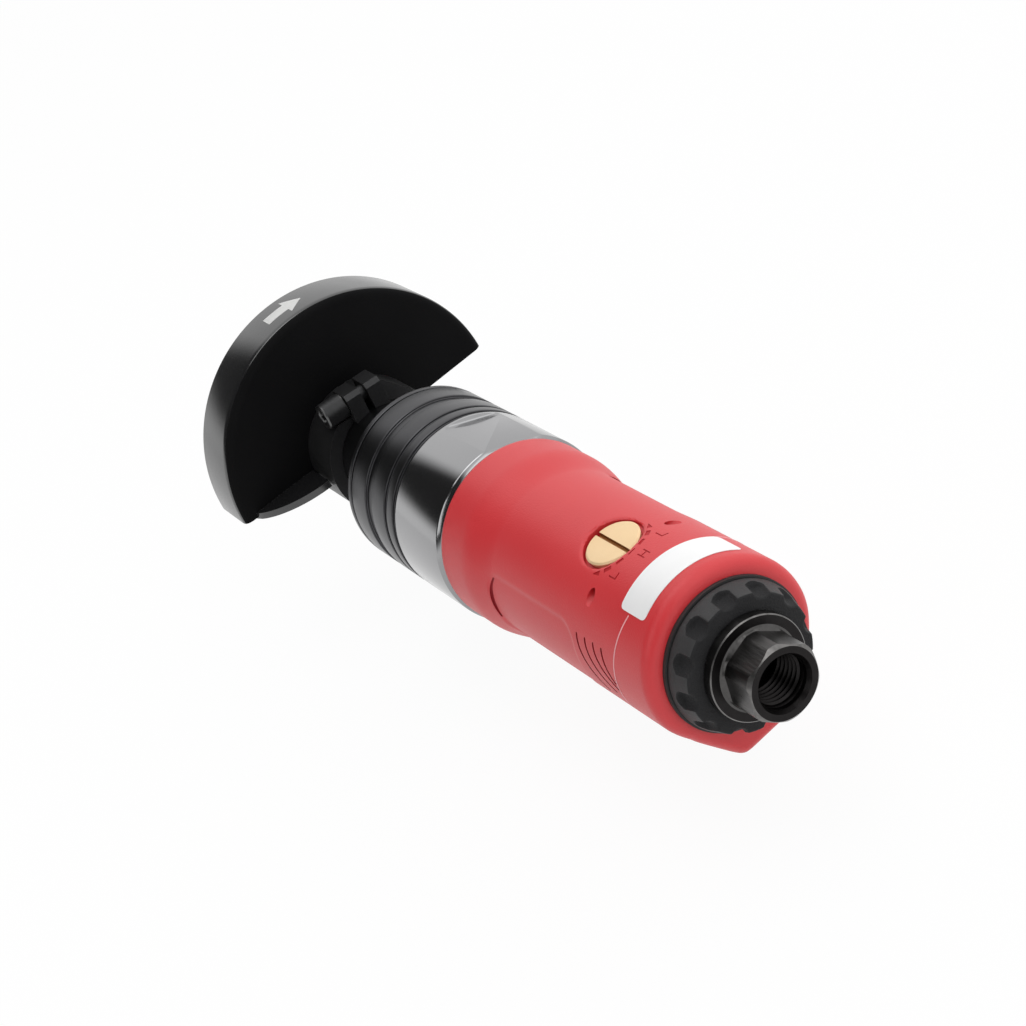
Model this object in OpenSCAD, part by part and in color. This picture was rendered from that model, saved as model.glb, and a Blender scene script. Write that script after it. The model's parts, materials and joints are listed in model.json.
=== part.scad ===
// Pneumatic cut-off tool for a three inch wheel: a straight handle with a lever throttle,
// a vane motor in a steel collar, a spindle nose and a half guard on a clamp band.
// Frame: origin on the axis at the inlet's first thread, +X forward to the wheel, +Y left, +Z up.

/* [Inlet] */
// Width across the flats of the inlet's hexagon
inlet_flats = 17; // [16.5:0.5:19]
// Length of the hexagon
inlet_hex_l = 9.5; // [7:0.5:14]
// Radius of the round flange in front of the hexagon
inlet_flange_r = 12.1; // [11.6:0.1:13.5]
// Thickness of the flange
inlet_flange_t = 2.5; // [1.5:0.1:4]
// Radius of the threaded air bore
inlet_bore_r = 5.6; // [5.2:0.1:6]
// Depth of the threaded air bore
inlet_bore_l = 13; // [10:0.5:18]
// Radius of the shank that screws into the handle
inlet_shank_r = 9; // [8:0.1:9.6]
// Length of the shank, from the flange forward
inlet_shank_l = 22; // [18:0.5:25]

/* [Exhaust] */
// Length of the swivelling exhaust deflector
deflector_l = 5.7; // [5:0.1:9]
// Radius of the deflector at its front
deflector_r = 17.2; // [16.5:0.1:17.6]
// Radius of the deflector at its back
deflector_back_r = 15.8; // [15:0.1:16.4]
// Scallops all round the deflector
scallops = 12; // [8:1:16]
// Angle of the deflector's opening
outlet_deg = 96; // [60:1:140]
// Radius of the washer between deflector and handle
washer_r = 17.7; // [17.2:0.1:19]
// Thickness of that washer
washer_t = 1; // [0.6:0.1:2]
// Length of the felt muffler
muffler_l = 9; // [6:0.5:11]

/* [Handle] */
// Length of the moulded handle
handle_length = 91.2; // [86:0.1:110]
// Radius of the grip at its back
grip_r = 21.4; // [21.2:0.1:24]
// Radius of the grip at its neck
neck_r = 21.4; // [21.2:0.1:23]
// Radius of the lip at the front
lip_r = 23.2; // [22.9:0.1:26]
// Length of the lip
lip_l = 10.5; // [8:0.5:20]
// Length of the hollow blend behind the lip
lip_blend_l = 12.5; // [6:0.5:16]
// Rounding of the grip's back edge
grip_round = 3; // [2:0.5:4.5]
// Distance of the flat flanks from the axis
flank_r = 21.2; // [20.6:0.1:22]
// Angle of the flanks from straight up
flank_deg = 122; // [115:1:128]
// Distance of the flat belly from the axis
belly_r = 24; // [22.5:0.1:25]

/* [Collar] */
// Length of the steel collar that shows in front of the handle
collar_l = 51.8; // [45:0.1:60]
// Radius of the collar
collar_r = 23.8; // [23.4:0.1:26]
// Depth of the motor bore, from the collar's back edge
collar_bore_l = 31.7; // [28:0.1:38]
// Radius of the spigot that screws into the handle
spigot_r = 21; // [20.4:0.1:21.4]
// Length of the spigot
spigot_l = 14; // [10:0.5:16]
// Depth of the two wrench flats
flat_depth = 1.3; // [0.6:0.1:2]
// Length of the wrench flats
flat_l = 22.5; // [16:0.5:26]
// Radius of the nose that carries the guard
nose_r = 14; // [13.6:0.1:16]
// Length of the nose
nose_l = 40.9; // [36:0.1:60]

/* [Motor] */
// Outer radius of the motor cylinder and end plates
motor_r = 19; // [18.4:0.1:19.4]
// Length of the motor cylinder
cylinder_l = 40; // [34:0.5:44]
// Bore radius of the motor cylinder
cylinder_bore_r = 15; // [14.6:0.1:16]
// Offset of that bore above the rotor's axis
eccentric = 1.3; // [0.6:0.1:1.4]
// Radius of the rotor
rotor_r = 13.4; // [12.5:0.1:13.6]
// Thickness of each end plate
plate_t = 8; // [7:0.5:10]
// Thickness of a vane
vane_t = 2; // [1.4:0.1:3]
// Depth of a vane
vane_h = 6; // [4:0.1:6.5]
// Radius of the rotor's shafts
shaft_r = 5; // [4.6:0.1:5.4]
// Outer radius of the motor's ball bearings
bearing_r = 11; // [10.6:0.1:12]
// Width of every ball bearing
bearing_w = 6; // [5:0.1:6.5]

/* [Spindle] */
// Radius of the spindle in its nose bearing
spindle_r = 6; // [5.6:0.1:6.4]
// Outer radius of the nose bearing
nose_bearing_r = 12; // [11.6:0.1:12.4]
// Radius of both wheel flanges
flange_r = 12; // [10:0.1:14]
// Thickness of the inner flange
inner_flange_t = 4; // [3:0.1:6]
// Thickness of the outer flange
outer_flange_t = 2.5; // [1.5:0.1:4]
// Radius of the pilot that the wheel's hole fits
pilot_r = 4.75; // [4.2:0.05:5.2]
// Gap for the wheel between the flanges
wheel_gap = 1.2; // [0.8:0.1:4]
// Radius of the arbor screw
arbor_screw_r = 2.5; // [2:0.1:3]
// Radius of the arbor screw's head
arbor_head_r = 5; // [4:0.1:6]
// Height of the arbor screw's head
arbor_head_h = 4; // [3:0.1:5]

/* [Guard] */
// Outer radius of the guard
guard_r = 41.5; // [38:0.1:56]
// Width of the guard along the axis
guard_w = 16.7; // [14:0.1:24]
// Thickness of the guard's sheet
guard_t = 2; // [1.2:0.1:3]
// Angle that the guard covers
guard_deg = 178; // [150:1:200]
// Turn of the guard to the right at rest
guard_turn = 3.6; // [-10:0.1:10]
// Outer radius of the clamp band
clamp_r = 17.6; // [16.8:0.1:19]
// Length of the clamp band along the axis
clamp_l = 16.8; // [13:0.1:18]
// Width of each clamp ear
ear_w = 4.4; // [3.5:0.1:6]
// Reach of the clamp ears from the axis
ear_reach = 21.4; // [20.5:0.1:24]

/* [Throttle] */
// Distance of the valve's bore from the back of the handle
valve_s = 31.5; // [29:0.5:35]
// Radius of the regulator's slotted head
regulator_head_r = 6.5; // [5.8:0.1:7]
// Radius of the regulator's stem
regulator_r = 5; // [4.6:0.1:5.4]
// Radius of the cross pin that holds the regulator
regulator_pin_r = 1.25; // [0.9:0.05:1.4]
// Radius of the throttle valve's stem
valve_stem_r = 1.6; // [1.2:0.1:1.9]
// Length of the lever, from its pivot to its tip
lever_l = 66; // [56:1:72]
// Outer width of the lever
lever_w = 12; // [10:0.5:16]
// Thickness of the lever's sheet
lever_t = 1.6; // [1.2:0.1:2]
// Slope of the lever at rest
lever_rest_deg = 4; // [3:0.5:5]
// Radius of the lever's pivot pin
lever_pin_r = 1.5; // [1.2:0.1:1.8]
// Reach of the safety latch above its pin
latch_reach = 8; // [6:0.1:8.5]

/* [Hidden] */

$fn = 64;

// Overrun of cuts past a face
over = 1;
// Radial clearance of a piece that is pressed or screwed into its seat
seat_gap = 0.02;
// Radial clearance of a shaft or pin that turns
run_gap = 0.05;
// Clearance between faces that pass each other
face_gap = 0.3;

// Places along the axis, stacked forward from the back face, a chamfer behind the first thread
mouth_chamfer = 1.2;
face_x = -mouth_chamfer;
flange_back_x = face_x + inlet_hex_l;
flange_front_x = flange_back_x + inlet_flange_t;
shank_end_x = flange_front_x + inlet_shank_l;
deflector_x = flange_front_x + face_gap;
washer_x = deflector_x + deflector_l + face_gap / 2;
handle_x = washer_x + washer_t;
collar_x = handle_x + handle_length;
shoulder_x = collar_x + collar_bore_l;
nose_x = collar_x + collar_l;
nose_end_x = nose_x + nose_l;
front_plate_x = shoulder_x - plate_t;
cylinder_x = front_plate_x - cylinder_l;
rear_plate_x = cylinder_x - plate_t;
wave_t = 0.6;
wave_rise = 0.6;
motor_x = rear_plate_x - wave_t - wave_rise;
nose_proud = 1;
guard_x = nose_end_x - nose_proud - guard_t;
flange_x = nose_end_x + nose_proud;
wheel_x = flange_x + inner_flange_t;
outer_flange_x = wheel_x + wheel_gap;
arbor_head_x = outer_flange_x + outer_flange_t;
valve_x = handle_x + valve_s;

// Revolved outline about the tool's axis: each point is a radius and a place along X
module spin_x(outline) {
    rotate([0, 90, 0])
        rotate_extrude()
            polygon(outline);
}

// Part of such a revolve, over an angle centred on straight up
module arc_x(outline, angle) {
    rotate([0, 90, 0])
        rotate([0, 0, 180 - angle / 2])
            rotate_extrude(angle = angle)
                polygon(outline);
}

// Round rod along X from one place to another
module rod_x(from, to, r) {
    translate([from, 0, 0])
        rotate([0, 90, 0])
            cylinder(h = to - from, r = r);
}

// Round rod along Y, centred on the middle plane
module rod_y(x, z, width, r) {
    translate([x, -width / 2, z])
        rotate([-90, 0, 0])
            cylinder(h = width, r = r);
}

// Round rod along Z
module rod_z(x, from, to, r) {
    translate([x, 0, from])
        cylinder(h = to - from, r = r);
}

// Round rod between two points
module rod(a, b, r) {
    d = b - a;
    translate(a)
        rotate([0, acos(d[2] / norm(d)), atan2(d[1], d[0])])
            cylinder(h = norm(d), r = r);
}

// Ring about the tool's axis
module ring_x(from, to, inner, outer) {
    difference() {
        rod_x(from, to, outer);
        rod_x(from - over, to + over, inner);
    }
}

// Tube swept along a list of points: sides round it, flat ends
function sweep_side(path, i) =
    let(t = path[min(i + 1, len(path) - 1)] - path[max(i - 1, 0)])
    let(u = t / norm(t))
    let(a = abs(u[0]) < 0.9 ? [1, 0, 0] : [0, 1, 0])
    let(v = cross(u, a))
    [v / norm(v), cross(u, v / norm(v))];

module wire(path, r, sides) {
    rings = len(path);
    points = [for (i = [0:rings - 1], k = [0:sides - 1])
        let(f = sweep_side(path, i))
        path[i] + r * (f[0] * cos(360 * k / sides) + f[1] * sin(360 * k / sides))];
    walls = [for (i = [0:rings - 2], k = [0:sides - 1])
        let(n = (k + 1) % sides)
        each [[i * sides + k, i * sides + n, (i + 1) * sides + n],
            [i * sides + k, (i + 1) * sides + n, (i + 1) * sides + k]]];
    back = [for (k = [1:sides - 2]) [0, k + 1, k]];
    last = (rings - 1) * sides;
    front = [for (k = [1:sides - 2]) [last, last + k, last + k + 1]];
    polyhedron([for (p = points) p], [for (f = concat(walls, back, front)) [f[0], f[2], f[1]]]);
}

// Inlet: black steel bushing with a hexagon, a flange and a screwed shank
hex_corner_r = inlet_flats / 2 / cos(30);
hex_turn = 23;
hex_face_share = 0.93;
hex_face_r = hex_corner_r * hex_face_share;
flange_bevel = 1.2;
air_r = 4.6;

module inlet_bushing() {
    chamfer_l = hex_corner_r - hex_face_r;
    color("#26262a")
        difference() {
            union() {
                intersection() {
                    translate([face_x - over, 0, 0])
                        rotate([hex_turn, 0, 0])
                            rotate([0, 90, 0])
                                cylinder(h = inlet_hex_l + 2 * over, r = hex_corner_r, $fn = 6);
                    spin_x([[0, face_x], [hex_face_r, face_x], [hex_corner_r + over, face_x + chamfer_l + over],
                        [hex_corner_r + over, flange_back_x + 2 * over], [0, flange_back_x + 2 * over]]);
                }
                spin_x([[0, flange_back_x], [inlet_flange_r - flange_bevel, flange_back_x],
                    [inlet_flange_r, flange_back_x + flange_bevel], [inlet_flange_r, flange_front_x],
                    [inlet_shank_r, flange_front_x], [inlet_shank_r, shank_end_x], [0, shank_end_x]]);
            }
            spin_x([[0, face_x - over], [inlet_bore_r + mouth_chamfer + over, face_x - over],
                [inlet_bore_r, 0], [inlet_bore_r, inlet_bore_l], [air_r, inlet_bore_l],
                [air_r, shank_end_x + over], [0, shank_end_x + over]]);
        }
}

// Thimble strainer pressed into the bushing's air passage
screen_l = 12;
screen_wall = 0.6;
screen_hole_r = 0.7;
screen_hole_ring = 2.3;

module inlet_screen() {
    screen_x = inlet_bore_l + mouth_chamfer;
    screen_r = air_r - seat_gap;
    color("#b9b4a6")
        difference() {
            rod_x(screen_x, screen_x + screen_l, screen_r);
            rod_x(screen_x - over, screen_x + screen_l - screen_wall, screen_r - screen_wall);
            for (k = [0:5])
                rotate([60 * k, 0, 0])
                    translate([0, 0, screen_hole_ring])
                        rod_x(screen_x, screen_x + screen_l + over, screen_hole_r);
            rod_x(screen_x, screen_x + screen_l + over, screen_hole_r);
        }
}

// Exhaust: moulded deflector that swivels on the bushing and throws the air to one side
deflector_wall = 2.4;
deflector_skin = 1.3;
scallop_r = 4;
scallop_bite = 0.9;
scallop_turn = 11;
outlet_step = 0.5;
scallop_share = 0.74;
rim_share = 0.88;
back_edge_share = 0.06;

module exhaust_deflector() {
    end_x = deflector_x + deflector_l;
    floor_x = deflector_x + deflector_wall;
    edge = back_edge_share * deflector_l;
    cone_deg = atan((deflector_r - deflector_back_r) / (rim_share * deflector_l));
    hub_r = inlet_shank_r + face_gap;
    cavity_r = deflector_back_r - scallop_bite - deflector_skin;
    outlet_x = floor_x - outlet_step;
    outlet_r = cavity_r - outlet_step;
    color("#1b1b1d")
        difference() {
            spin_x([[hub_r, deflector_x], [deflector_back_r - edge, deflector_x],
                [deflector_back_r, deflector_x + edge], [deflector_r, deflector_x + rim_share * deflector_l],
                [deflector_r, end_x], [cavity_r, end_x], [cavity_r, floor_x], [hub_r, floor_x]]);
            for (k = [0:scallops - 1])
                rotate([scallop_turn + 360 * k / scallops, 0, 0])
                    translate([deflector_x, 0, deflector_back_r + scallop_r - scallop_bite])
                        rotate([0, -cone_deg, 0])
                            rod_x(-2 * over, scallop_share * deflector_l, scallop_r);
            rotate([180, 0, 0])
                arc_x([[outlet_r, outlet_x], [deflector_r + over, outlet_x],
                    [deflector_r + over, end_x + over], [outlet_r, end_x + over]], outlet_deg);
        }
}

// Washer that the deflector slides round on
module deflector_washer() {
    color("#2b2b2d")
        ring_x(washer_x, handle_x, inlet_shank_r + face_gap, washer_r);
}

// Felt ring that quietens the exhaust in the handle's back chamber
boss_wall = 3;
chamber_r = 16.2;
chamber_l = 12;

module muffler() {
    color("#8d8a80")
        ring_x(handle_x + face_gap, handle_x + muffler_l, inlet_shank_r + boss_wall + face_gap,
            chamber_r - face_gap);
}

// Handle: moulded grip, round on top, with flat flanks, a flat belly and a flared front lip
blend_power = 40;
round_open_share = 0.4;
far_share = 0.05;
lip_round = 0.8;
grip_sides = 60;

// Smooth step from 0 to 1
function ease(u) = let(c = min(max(u, 0), 1)) c * c * (3 - 2 * c);
// How far the section has turned from grip to lip at a distance from the handle's back
function lip_part(s) = ease((s - handle_length + lip_l + lip_blend_l) / lip_blend_l);
// Quarter-round drop of an edge
function edge_drop(d, r) = d < r ? r - sqrt(r * r - (r - d) * (r - d)) : 0;
// Radius of the grip's round top
function top_r(s) = grip_r + (neck_r - grip_r) * s / (handle_length - lip_l);
// Radius of the grip's own section: round crown, flat flanks and flat belly, blended
function grip_section(s, angle) =
    let(a = abs(angle))
    let(below = max(0, a - flank_deg) / (180 - flank_deg))
    let(crown = top_r(s) * (1 + round_open_share * below))
    let(flank = flank_r / max(cos(a - flank_deg), far_share))
    let(belly = belly_r / max(cos(180 - a), far_share))
    pow(pow(crown, -blend_power) + pow(flank, -blend_power) + pow(belly, -blend_power),
        -1 / blend_power);
// Radius of the handle at a distance from its back and an angle from straight up
function handle_r(s, angle) =
    let(t = lip_part(s))
    grip_section(s, angle) * (1 - t) + lip_r * t
    - edge_drop(s, grip_round) - edge_drop(handle_length - s, lip_round);

module handle_form() {
    blend_s = handle_length - lip_l - lip_blend_l;
    stations = concat([for (k = [0:4]) grip_round * (1 - cos(22.5 * k))],
        [for (k = [1:3]) grip_round + (blend_s - grip_round) * k / 4],
        [for (k = [0:8]) blend_s + lip_blend_l * k / 8],
        [for (k = [0:3]) handle_length - lip_round * (1 - sin(30 * k))]);
    rings = len(stations);
    points = [for (s = stations, k = [0:grip_sides - 1])
        let(a = 360 * k / grip_sides - 180)
        let(r = handle_r(s, a))
        [handle_x + s, r * sin(a), r * cos(a)]];
    walls = [for (i = [0:rings - 2], k = [0:grip_sides - 1])
        let(n = (k + 1) % grip_sides)
        each [[i * grip_sides + k, i * grip_sides + n, (i + 1) * grip_sides + n],
            [i * grip_sides + k, (i + 1) * grip_sides + n, (i + 1) * grip_sides + k]]];
    back = [[for (k = [0:grip_sides - 1]) grip_sides - 1 - k]];
    front = [[for (k = [0:grip_sides - 1]) (rings - 1) * grip_sides + k]];
    polyhedron(points, concat(walls, back, front));
}

// Point on the handle's surface, at a depth below it
function on_handle(s, angle, depth) =
    let(r = handle_r(s, angle) - depth)
    [handle_x + s, r * sin(angle), r * cos(angle)];

// Valve group: regulator on top, poppet under it, stem out of the belly to the lever
recess_gap = 1;
recess_r = regulator_head_r + recess_gap;
regulator_head_h = 2;
regulator_sink = 0.3;
regulator_top = neck_r - regulator_sink;
regulator_floor = regulator_top - regulator_head_h;
regulator_groove_share = 0.84;
regulator_groove_r = regulator_r * regulator_groove_share;
regulator_pin_x = valve_x - regulator_groove_r - regulator_pin_r - run_gap;
pin_cover = 0.5;
regulator_pin_z = regulator_floor - regulator_pin_r - pin_cover;
port_r = 2.6;
cup_rim = 1.9;
cup_wall = 1.4;
cup_head = 7.4;
regulator_bottom = -port_r - cup_rim;
valve_cup_r = regulator_r - cup_wall;
valve_cup_top = port_r + cup_head;
bore_r = regulator_r + run_gap;
feed_r = 2.4;
seal_t = 1.4;
seat_t = 4;
seat_hole_gap = 1;
seat_hole_r = valve_stem_r + seat_hole_gap;
valve_seat_z = regulator_bottom - face_gap;
feed_z = valve_seat_z - seat_t - feed_r;
chamber_bottom = feed_z - feed_r - seal_t;
exhaust_hole_r = 2.6;
exhaust_hole_deg = 72;

// Lever group: sheet channel on a pin behind the valve
lever_pivot_s = 15.5;
pivot_x = handle_x + lever_pivot_s;
pivot_drop = 2.3;
pivot_z = -belly_r - lever_pin_r - pivot_drop;
pivot_boss_w = lever_w - 2 * lever_t - 2 * face_gap;
pivot_boss_wall = 1.5;
pivot_boss_r = lever_pin_r + pivot_boss_wall;

// Grip grooves on both sides of the handle
grooves = 4;
groove_r = 1.1;
groove_depth = 0.5;
groove_top_s = 29.5;
groove_low_s = 17.5;
groove_step_s = 3.6;
groove_low_step_s = 2.1;
groove_top_deg = 56;
groove_low_deg = 88;

module grip_grooves() {
    for (side = [-1, 1], k = [0:grooves - 1])
        rod(on_handle(groove_top_s - groove_step_s * k, side * groove_top_deg, groove_depth - groove_r),
            on_handle(groove_low_s - groove_low_step_s * k, side * groove_low_deg, groove_depth - groove_r),
            groove_r);
}

module handle_housing() {
    color("#c8252b")
        difference() {
            union() {
                handle_form();
                translate([pivot_x, pivot_boss_w / 2, pivot_z])
                    rotate([90, 0, 0])
                        linear_extrude(pivot_boss_w)
                            union() {
                                circle(r = pivot_boss_r);
                                translate([-pivot_boss_r, 0])
                                    square([2 * pivot_boss_r, -pivot_z - belly_r + over]);
                            }
            }
            rod_x(motor_x, collar_x + over, motor_r + seat_gap);
            rod_x(collar_x - spigot_l - face_gap, collar_x + over, spigot_r + seat_gap);
            spin_x([[inlet_shank_r + boss_wall, handle_x - over], [chamber_r, handle_x - over],
                [chamber_r, handle_x + chamber_l], [inlet_shank_r + boss_wall, handle_x + chamber_l]]);
            rod_x(handle_x - over, shank_end_x + face_gap, inlet_shank_r + seat_gap);
            rod_x(shank_end_x, valve_x, air_r);
            rod_z(valve_x, chamber_bottom, belly_r, bore_r);
            rod_z(valve_x, regulator_floor - face_gap / 2, belly_r + lip_r, recess_r);
            rod_z(valve_x, -belly_r - over, chamber_bottom + over, valve_stem_r + run_gap);
            translate([0, 0, feed_z])
                rod_x(valve_x, motor_x + over, feed_r);
            for (side = [-1, 1])
                rotate([side * exhaust_hole_deg, 0, 0])
                    translate([0, 0, (chamber_r + inlet_shank_r + boss_wall) / 2])
                        rod_x(handle_x + chamber_l - over, motor_x + over, exhaust_hole_r);
            rod_y(regulator_pin_x, regulator_pin_z, 2 * grip_r, regulator_pin_r + seat_gap);
            rod_y(pivot_x, pivot_z, pivot_boss_w + over, lever_pin_r + seat_gap);
            grip_grooves();
        }
}

// Brass regulator: slotted head, pinned stem and a ported cup over the valve
slot_w = 1.8;
slot_depth = 1.1;
head_edge = 0.4;
seal_wire_r = 0.5;
seal_below_pin = 3;
regulator_seal_z = regulator_pin_z - seal_below_pin;

module regulator() {
    pin_band = regulator_pin_r + run_gap + seat_gap;
    wire_band = seal_wire_r + run_gap;
    color("#d4ab5f")
        difference() {
            translate([valve_x, 0, 0])
                rotate_extrude()
                    polygon([[0, regulator_bottom], [regulator_r, regulator_bottom],
                        [regulator_r, regulator_seal_z - wire_band],
                        [regulator_r - 2 * seal_wire_r, regulator_seal_z - wire_band],
                        [regulator_r - 2 * seal_wire_r, regulator_seal_z + wire_band],
                        [regulator_r, regulator_seal_z + wire_band],
                        [regulator_r, regulator_pin_z - pin_band],
                        [regulator_groove_r, regulator_pin_z - pin_band],
                        [regulator_groove_r, regulator_pin_z + pin_band],
                        [regulator_r, regulator_pin_z + pin_band],
                        [regulator_r, regulator_floor], [regulator_head_r, regulator_floor],
                        [regulator_head_r, regulator_top - head_edge],
                        [regulator_head_r - head_edge, regulator_top], [0, regulator_top]]);
            rod_z(valve_x, regulator_bottom - over, valve_cup_top, valve_cup_r);
            translate([-over, 0, 0])
                rod_x(valve_x - regulator_r, valve_x, port_r);
            translate([valve_x - regulator_head_r - over, -slot_w / 2, regulator_top - slot_depth])
                cube([2 * regulator_head_r + 2 * over, slot_w, slot_depth + over]);
        }
}

// Rubber ring in the regulator's stem
module regulator_seal() {
    color("#202022")
        translate([valve_x, 0, regulator_seal_z])
            rotate_extrude()
                translate([regulator_r - seal_wire_r, 0])
                    circle(r = seal_wire_r, $fn = 24);
}

// Roll pin across the handle that keeps the regulator in
pin_short_share = 0.94;

module regulator_pin() {
    pin_w = 2 * pin_short_share * sqrt(neck_r * neck_r - regulator_pin_z * regulator_pin_z);
    color("#8c8f94")
        difference() {
            rod_y(regulator_pin_x, regulator_pin_z, pin_w, regulator_pin_r);
            rod_y(regulator_pin_x, regulator_pin_z, pin_w + over, regulator_pin_r / 2);
        }
}

// Poppet valve: a head on the seat and a long stem down to the lever
poppet_t = 1.6;
stem_round = 0.5;
valve_lever_gap = 0.25;
web_drop = 4;
// Underside of the valve's stem, just above the lever's web at rest
stem_end_z = pivot_z - web_drop * cos(lever_rest_deg)
    - (valve_s - lever_pivot_s - valve_stem_r) * sin(lever_rest_deg) + valve_lever_gap;

module throttle_valve() {
    color("#b98d4a")
        translate([valve_x, 0, 0])
            rotate_extrude()
                polygon([[0, stem_end_z], [valve_stem_r - stem_round, stem_end_z],
                    [valve_stem_r, stem_end_z + stem_round], [valve_stem_r, valve_seat_z],
                    [valve_cup_r - face_gap, valve_seat_z],
                    [valve_cup_r - face_gap, valve_seat_z + poppet_t], [0, valve_seat_z + poppet_t]]);
}

// Brass seat under the poppet
module valve_seat() {
    color("#c79c55")
        translate([valve_x, 0, valve_seat_z - seat_t])
            difference() {
                cylinder(h = seat_t, r = regulator_r + run_gap - seat_gap);
                translate([0, 0, -over])
                    cylinder(h = seat_t + 2 * over, r = seat_hole_r);
            }
}

// Rubber seal round the stem at the bottom of the valve's bore
module stem_seal() {
    color("#202022")
        translate([valve_x, 0, chamber_bottom])
            difference() {
                cylinder(h = seal_t, r = bore_r - seat_gap);
                translate([0, 0, -over])
                    cylinder(h = seal_t + 2 * over, r = valve_stem_r + run_gap);
            }
}

// Coil spring between the poppet and the regulator's cup
spring_wire_r = 0.4;
spring_turns = 6;

module valve_spring() {
    foot = valve_seat_z + poppet_t + spring_wire_r + run_gap;
    head = valve_cup_top - spring_wire_r - run_gap;
    coil_r = valve_cup_r - spring_wire_r - face_gap;
    steps = spring_turns * 8;
    path = [for (i = [0:steps])
        [valve_x + coil_r * cos(45 * i), coil_r * sin(45 * i), foot + (head - foot) * i / steps]];
    color("#a8abb0")
        wire(path, spring_wire_r, 6);
}

// Lever: pressed channel with two pivot cheeks, a slot for the latch and a rolled tip
lever_eye_wall = 1.6;
lever_eye_r = lever_pin_r + lever_eye_wall;
cheek_tip_h = 1.2;
web_start_share = 0.06;
latch_s_share = 0.66;
latch_pin_r = 1;
latch_w = 5;
latch_drop = 1.6;
latch_t = 1.5;
latch_lean_deg = 30;
tab_reach = 6;
latch_u = latch_s_share * lever_l;

// Lever's own frame: origin at the pivot, sloping down forward at rest
module at_lever() {
    translate([pivot_x, 0, pivot_z])
        rotate([0, lever_rest_deg, 0])
            children();
}

module throttle_lever() {
    tip_r = lever_t;
    web_z = -web_drop - lever_t;
    web_u = web_start_share * lever_l;
    slot_l = 2 * latch_pin_r + tab_reach + latch_t + face_gap;
    color("#2a2a2d")
        at_lever()
            difference() {
                union() {
                    for (side = [-1, 1])
                        translate([0, side * (lever_w - lever_t) / 2 + lever_t / 2, 0])
                            rotate([90, 0, 0])
                                linear_extrude(lever_t)
                                    union() {
                                        circle(r = lever_eye_r);
                                        polygon([[-lever_eye_r / 2, -lever_eye_r / 2], [web_u, web_z],
                                            [lever_l, web_z], [lever_l, web_z + lever_t + cheek_tip_h],
                                            [lever_eye_r, lever_eye_r / 2]]);
                                    }
                    translate([web_u, -lever_w / 2, web_z])
                        cube([lever_l - web_u, lever_w, lever_t]);
                    rod_y(lever_l, web_z, lever_w, tip_r);
                }
                rod_y(0, 0, lever_w + over, lever_pin_r + run_gap);
                rod_y(latch_u, -latch_drop, lever_w + over, latch_pin_r + seat_gap);
                translate([latch_u - 2 * latch_pin_r, -latch_w / 2 - face_gap, web_z - over])
                    cube([slot_l, latch_w + 2 * face_gap, lever_t + 2 * over]);
            }
}

// Lever's pivot pin, pressed into the handle's boss
module lever_pin() {
    color("#9a9da2")
        rod_y(pivot_x, pivot_z, lever_w + 2 * face_gap, lever_pin_r);
}

// Safety latch: a small rocker whose upper leg stands under the belly and whose tab comes
// out below the lever, to be pushed forward before the lever can close
module safety_latch() {
    eye_r = latch_pin_r + latch_t / 2;
    color("#3a3a3e")
        at_lever()
            translate([latch_u, 0, -latch_drop])
                rotate([0, -latch_lean_deg, 0])
                    difference() {
                        union() {
                            rod_y(0, 0, latch_w, eye_r);
                            translate([-latch_t / 2, -latch_w / 2, -tab_reach])
                                cube([latch_t, latch_w, tab_reach + latch_reach - latch_t / 2]);
                            rod_y(0, latch_reach - latch_t / 2, latch_w, latch_t / 2);
                            rod_y(0, -tab_reach, latch_w, latch_t / 2);
                        }
                        rod_y(0, 0, latch_w + over, latch_pin_r + run_gap);
                    }
}

// Latch's pivot pin through the lever's cheeks
module latch_pin() {
    color("#9a9da2")
        at_lever()
            rod_y(latch_u, -latch_drop, lever_w, latch_pin_r);
}

// Torsion spring on the latch's pin: curls beside the latch and two straight legs
latch_wire_r = 0.25;
latch_curls = 2;

module latch_spring() {
    curl_r = latch_pin_r + latch_wire_r + face_gap;
    y0 = latch_w / 2 + latch_wire_r + run_gap;
    y1 = lever_w / 2 - lever_t - latch_wire_r - run_gap;
    steps = latch_curls * 8;
    leg = 2 * curl_r;
    curls = [for (i = [0:steps])
        [curl_r * cos(45 * i), y0 + (y1 - y0) * i / steps, curl_r * sin(45 * i)]];
    path = concat([[curl_r, y0, -leg]], curls, [[curl_r, y1, leg]]);
    color("#a8abb0")
        at_lever()
            translate([latch_u, 0, -latch_drop])
                rotate([0, -latch_lean_deg, 0])
                    wire(path, latch_wire_r, 6);
}

// Collar: steel motor case with a screwed spigot, wrench flats, turned rings and a nose
collar_chamfer = 1;
collar_face_share = 0.97;
ring_groove = 0.7;
// Grooves turned in the front half: start and end of each as shares of the collar's length
groove_shares = [[0.455, 0.487], [0.549, 0.576], [0.715, 0.787], [0.941, 0.953]];
flat_turn = 26;
spindle_bore_gap = 1;
nose_seal_l = 4;
nose_pocket_x = nose_end_x - bearing_w - nose_seal_l - nose_proud;
spindle_step = 1;
spindle_shoulder_r = spindle_r + spindle_step;

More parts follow.
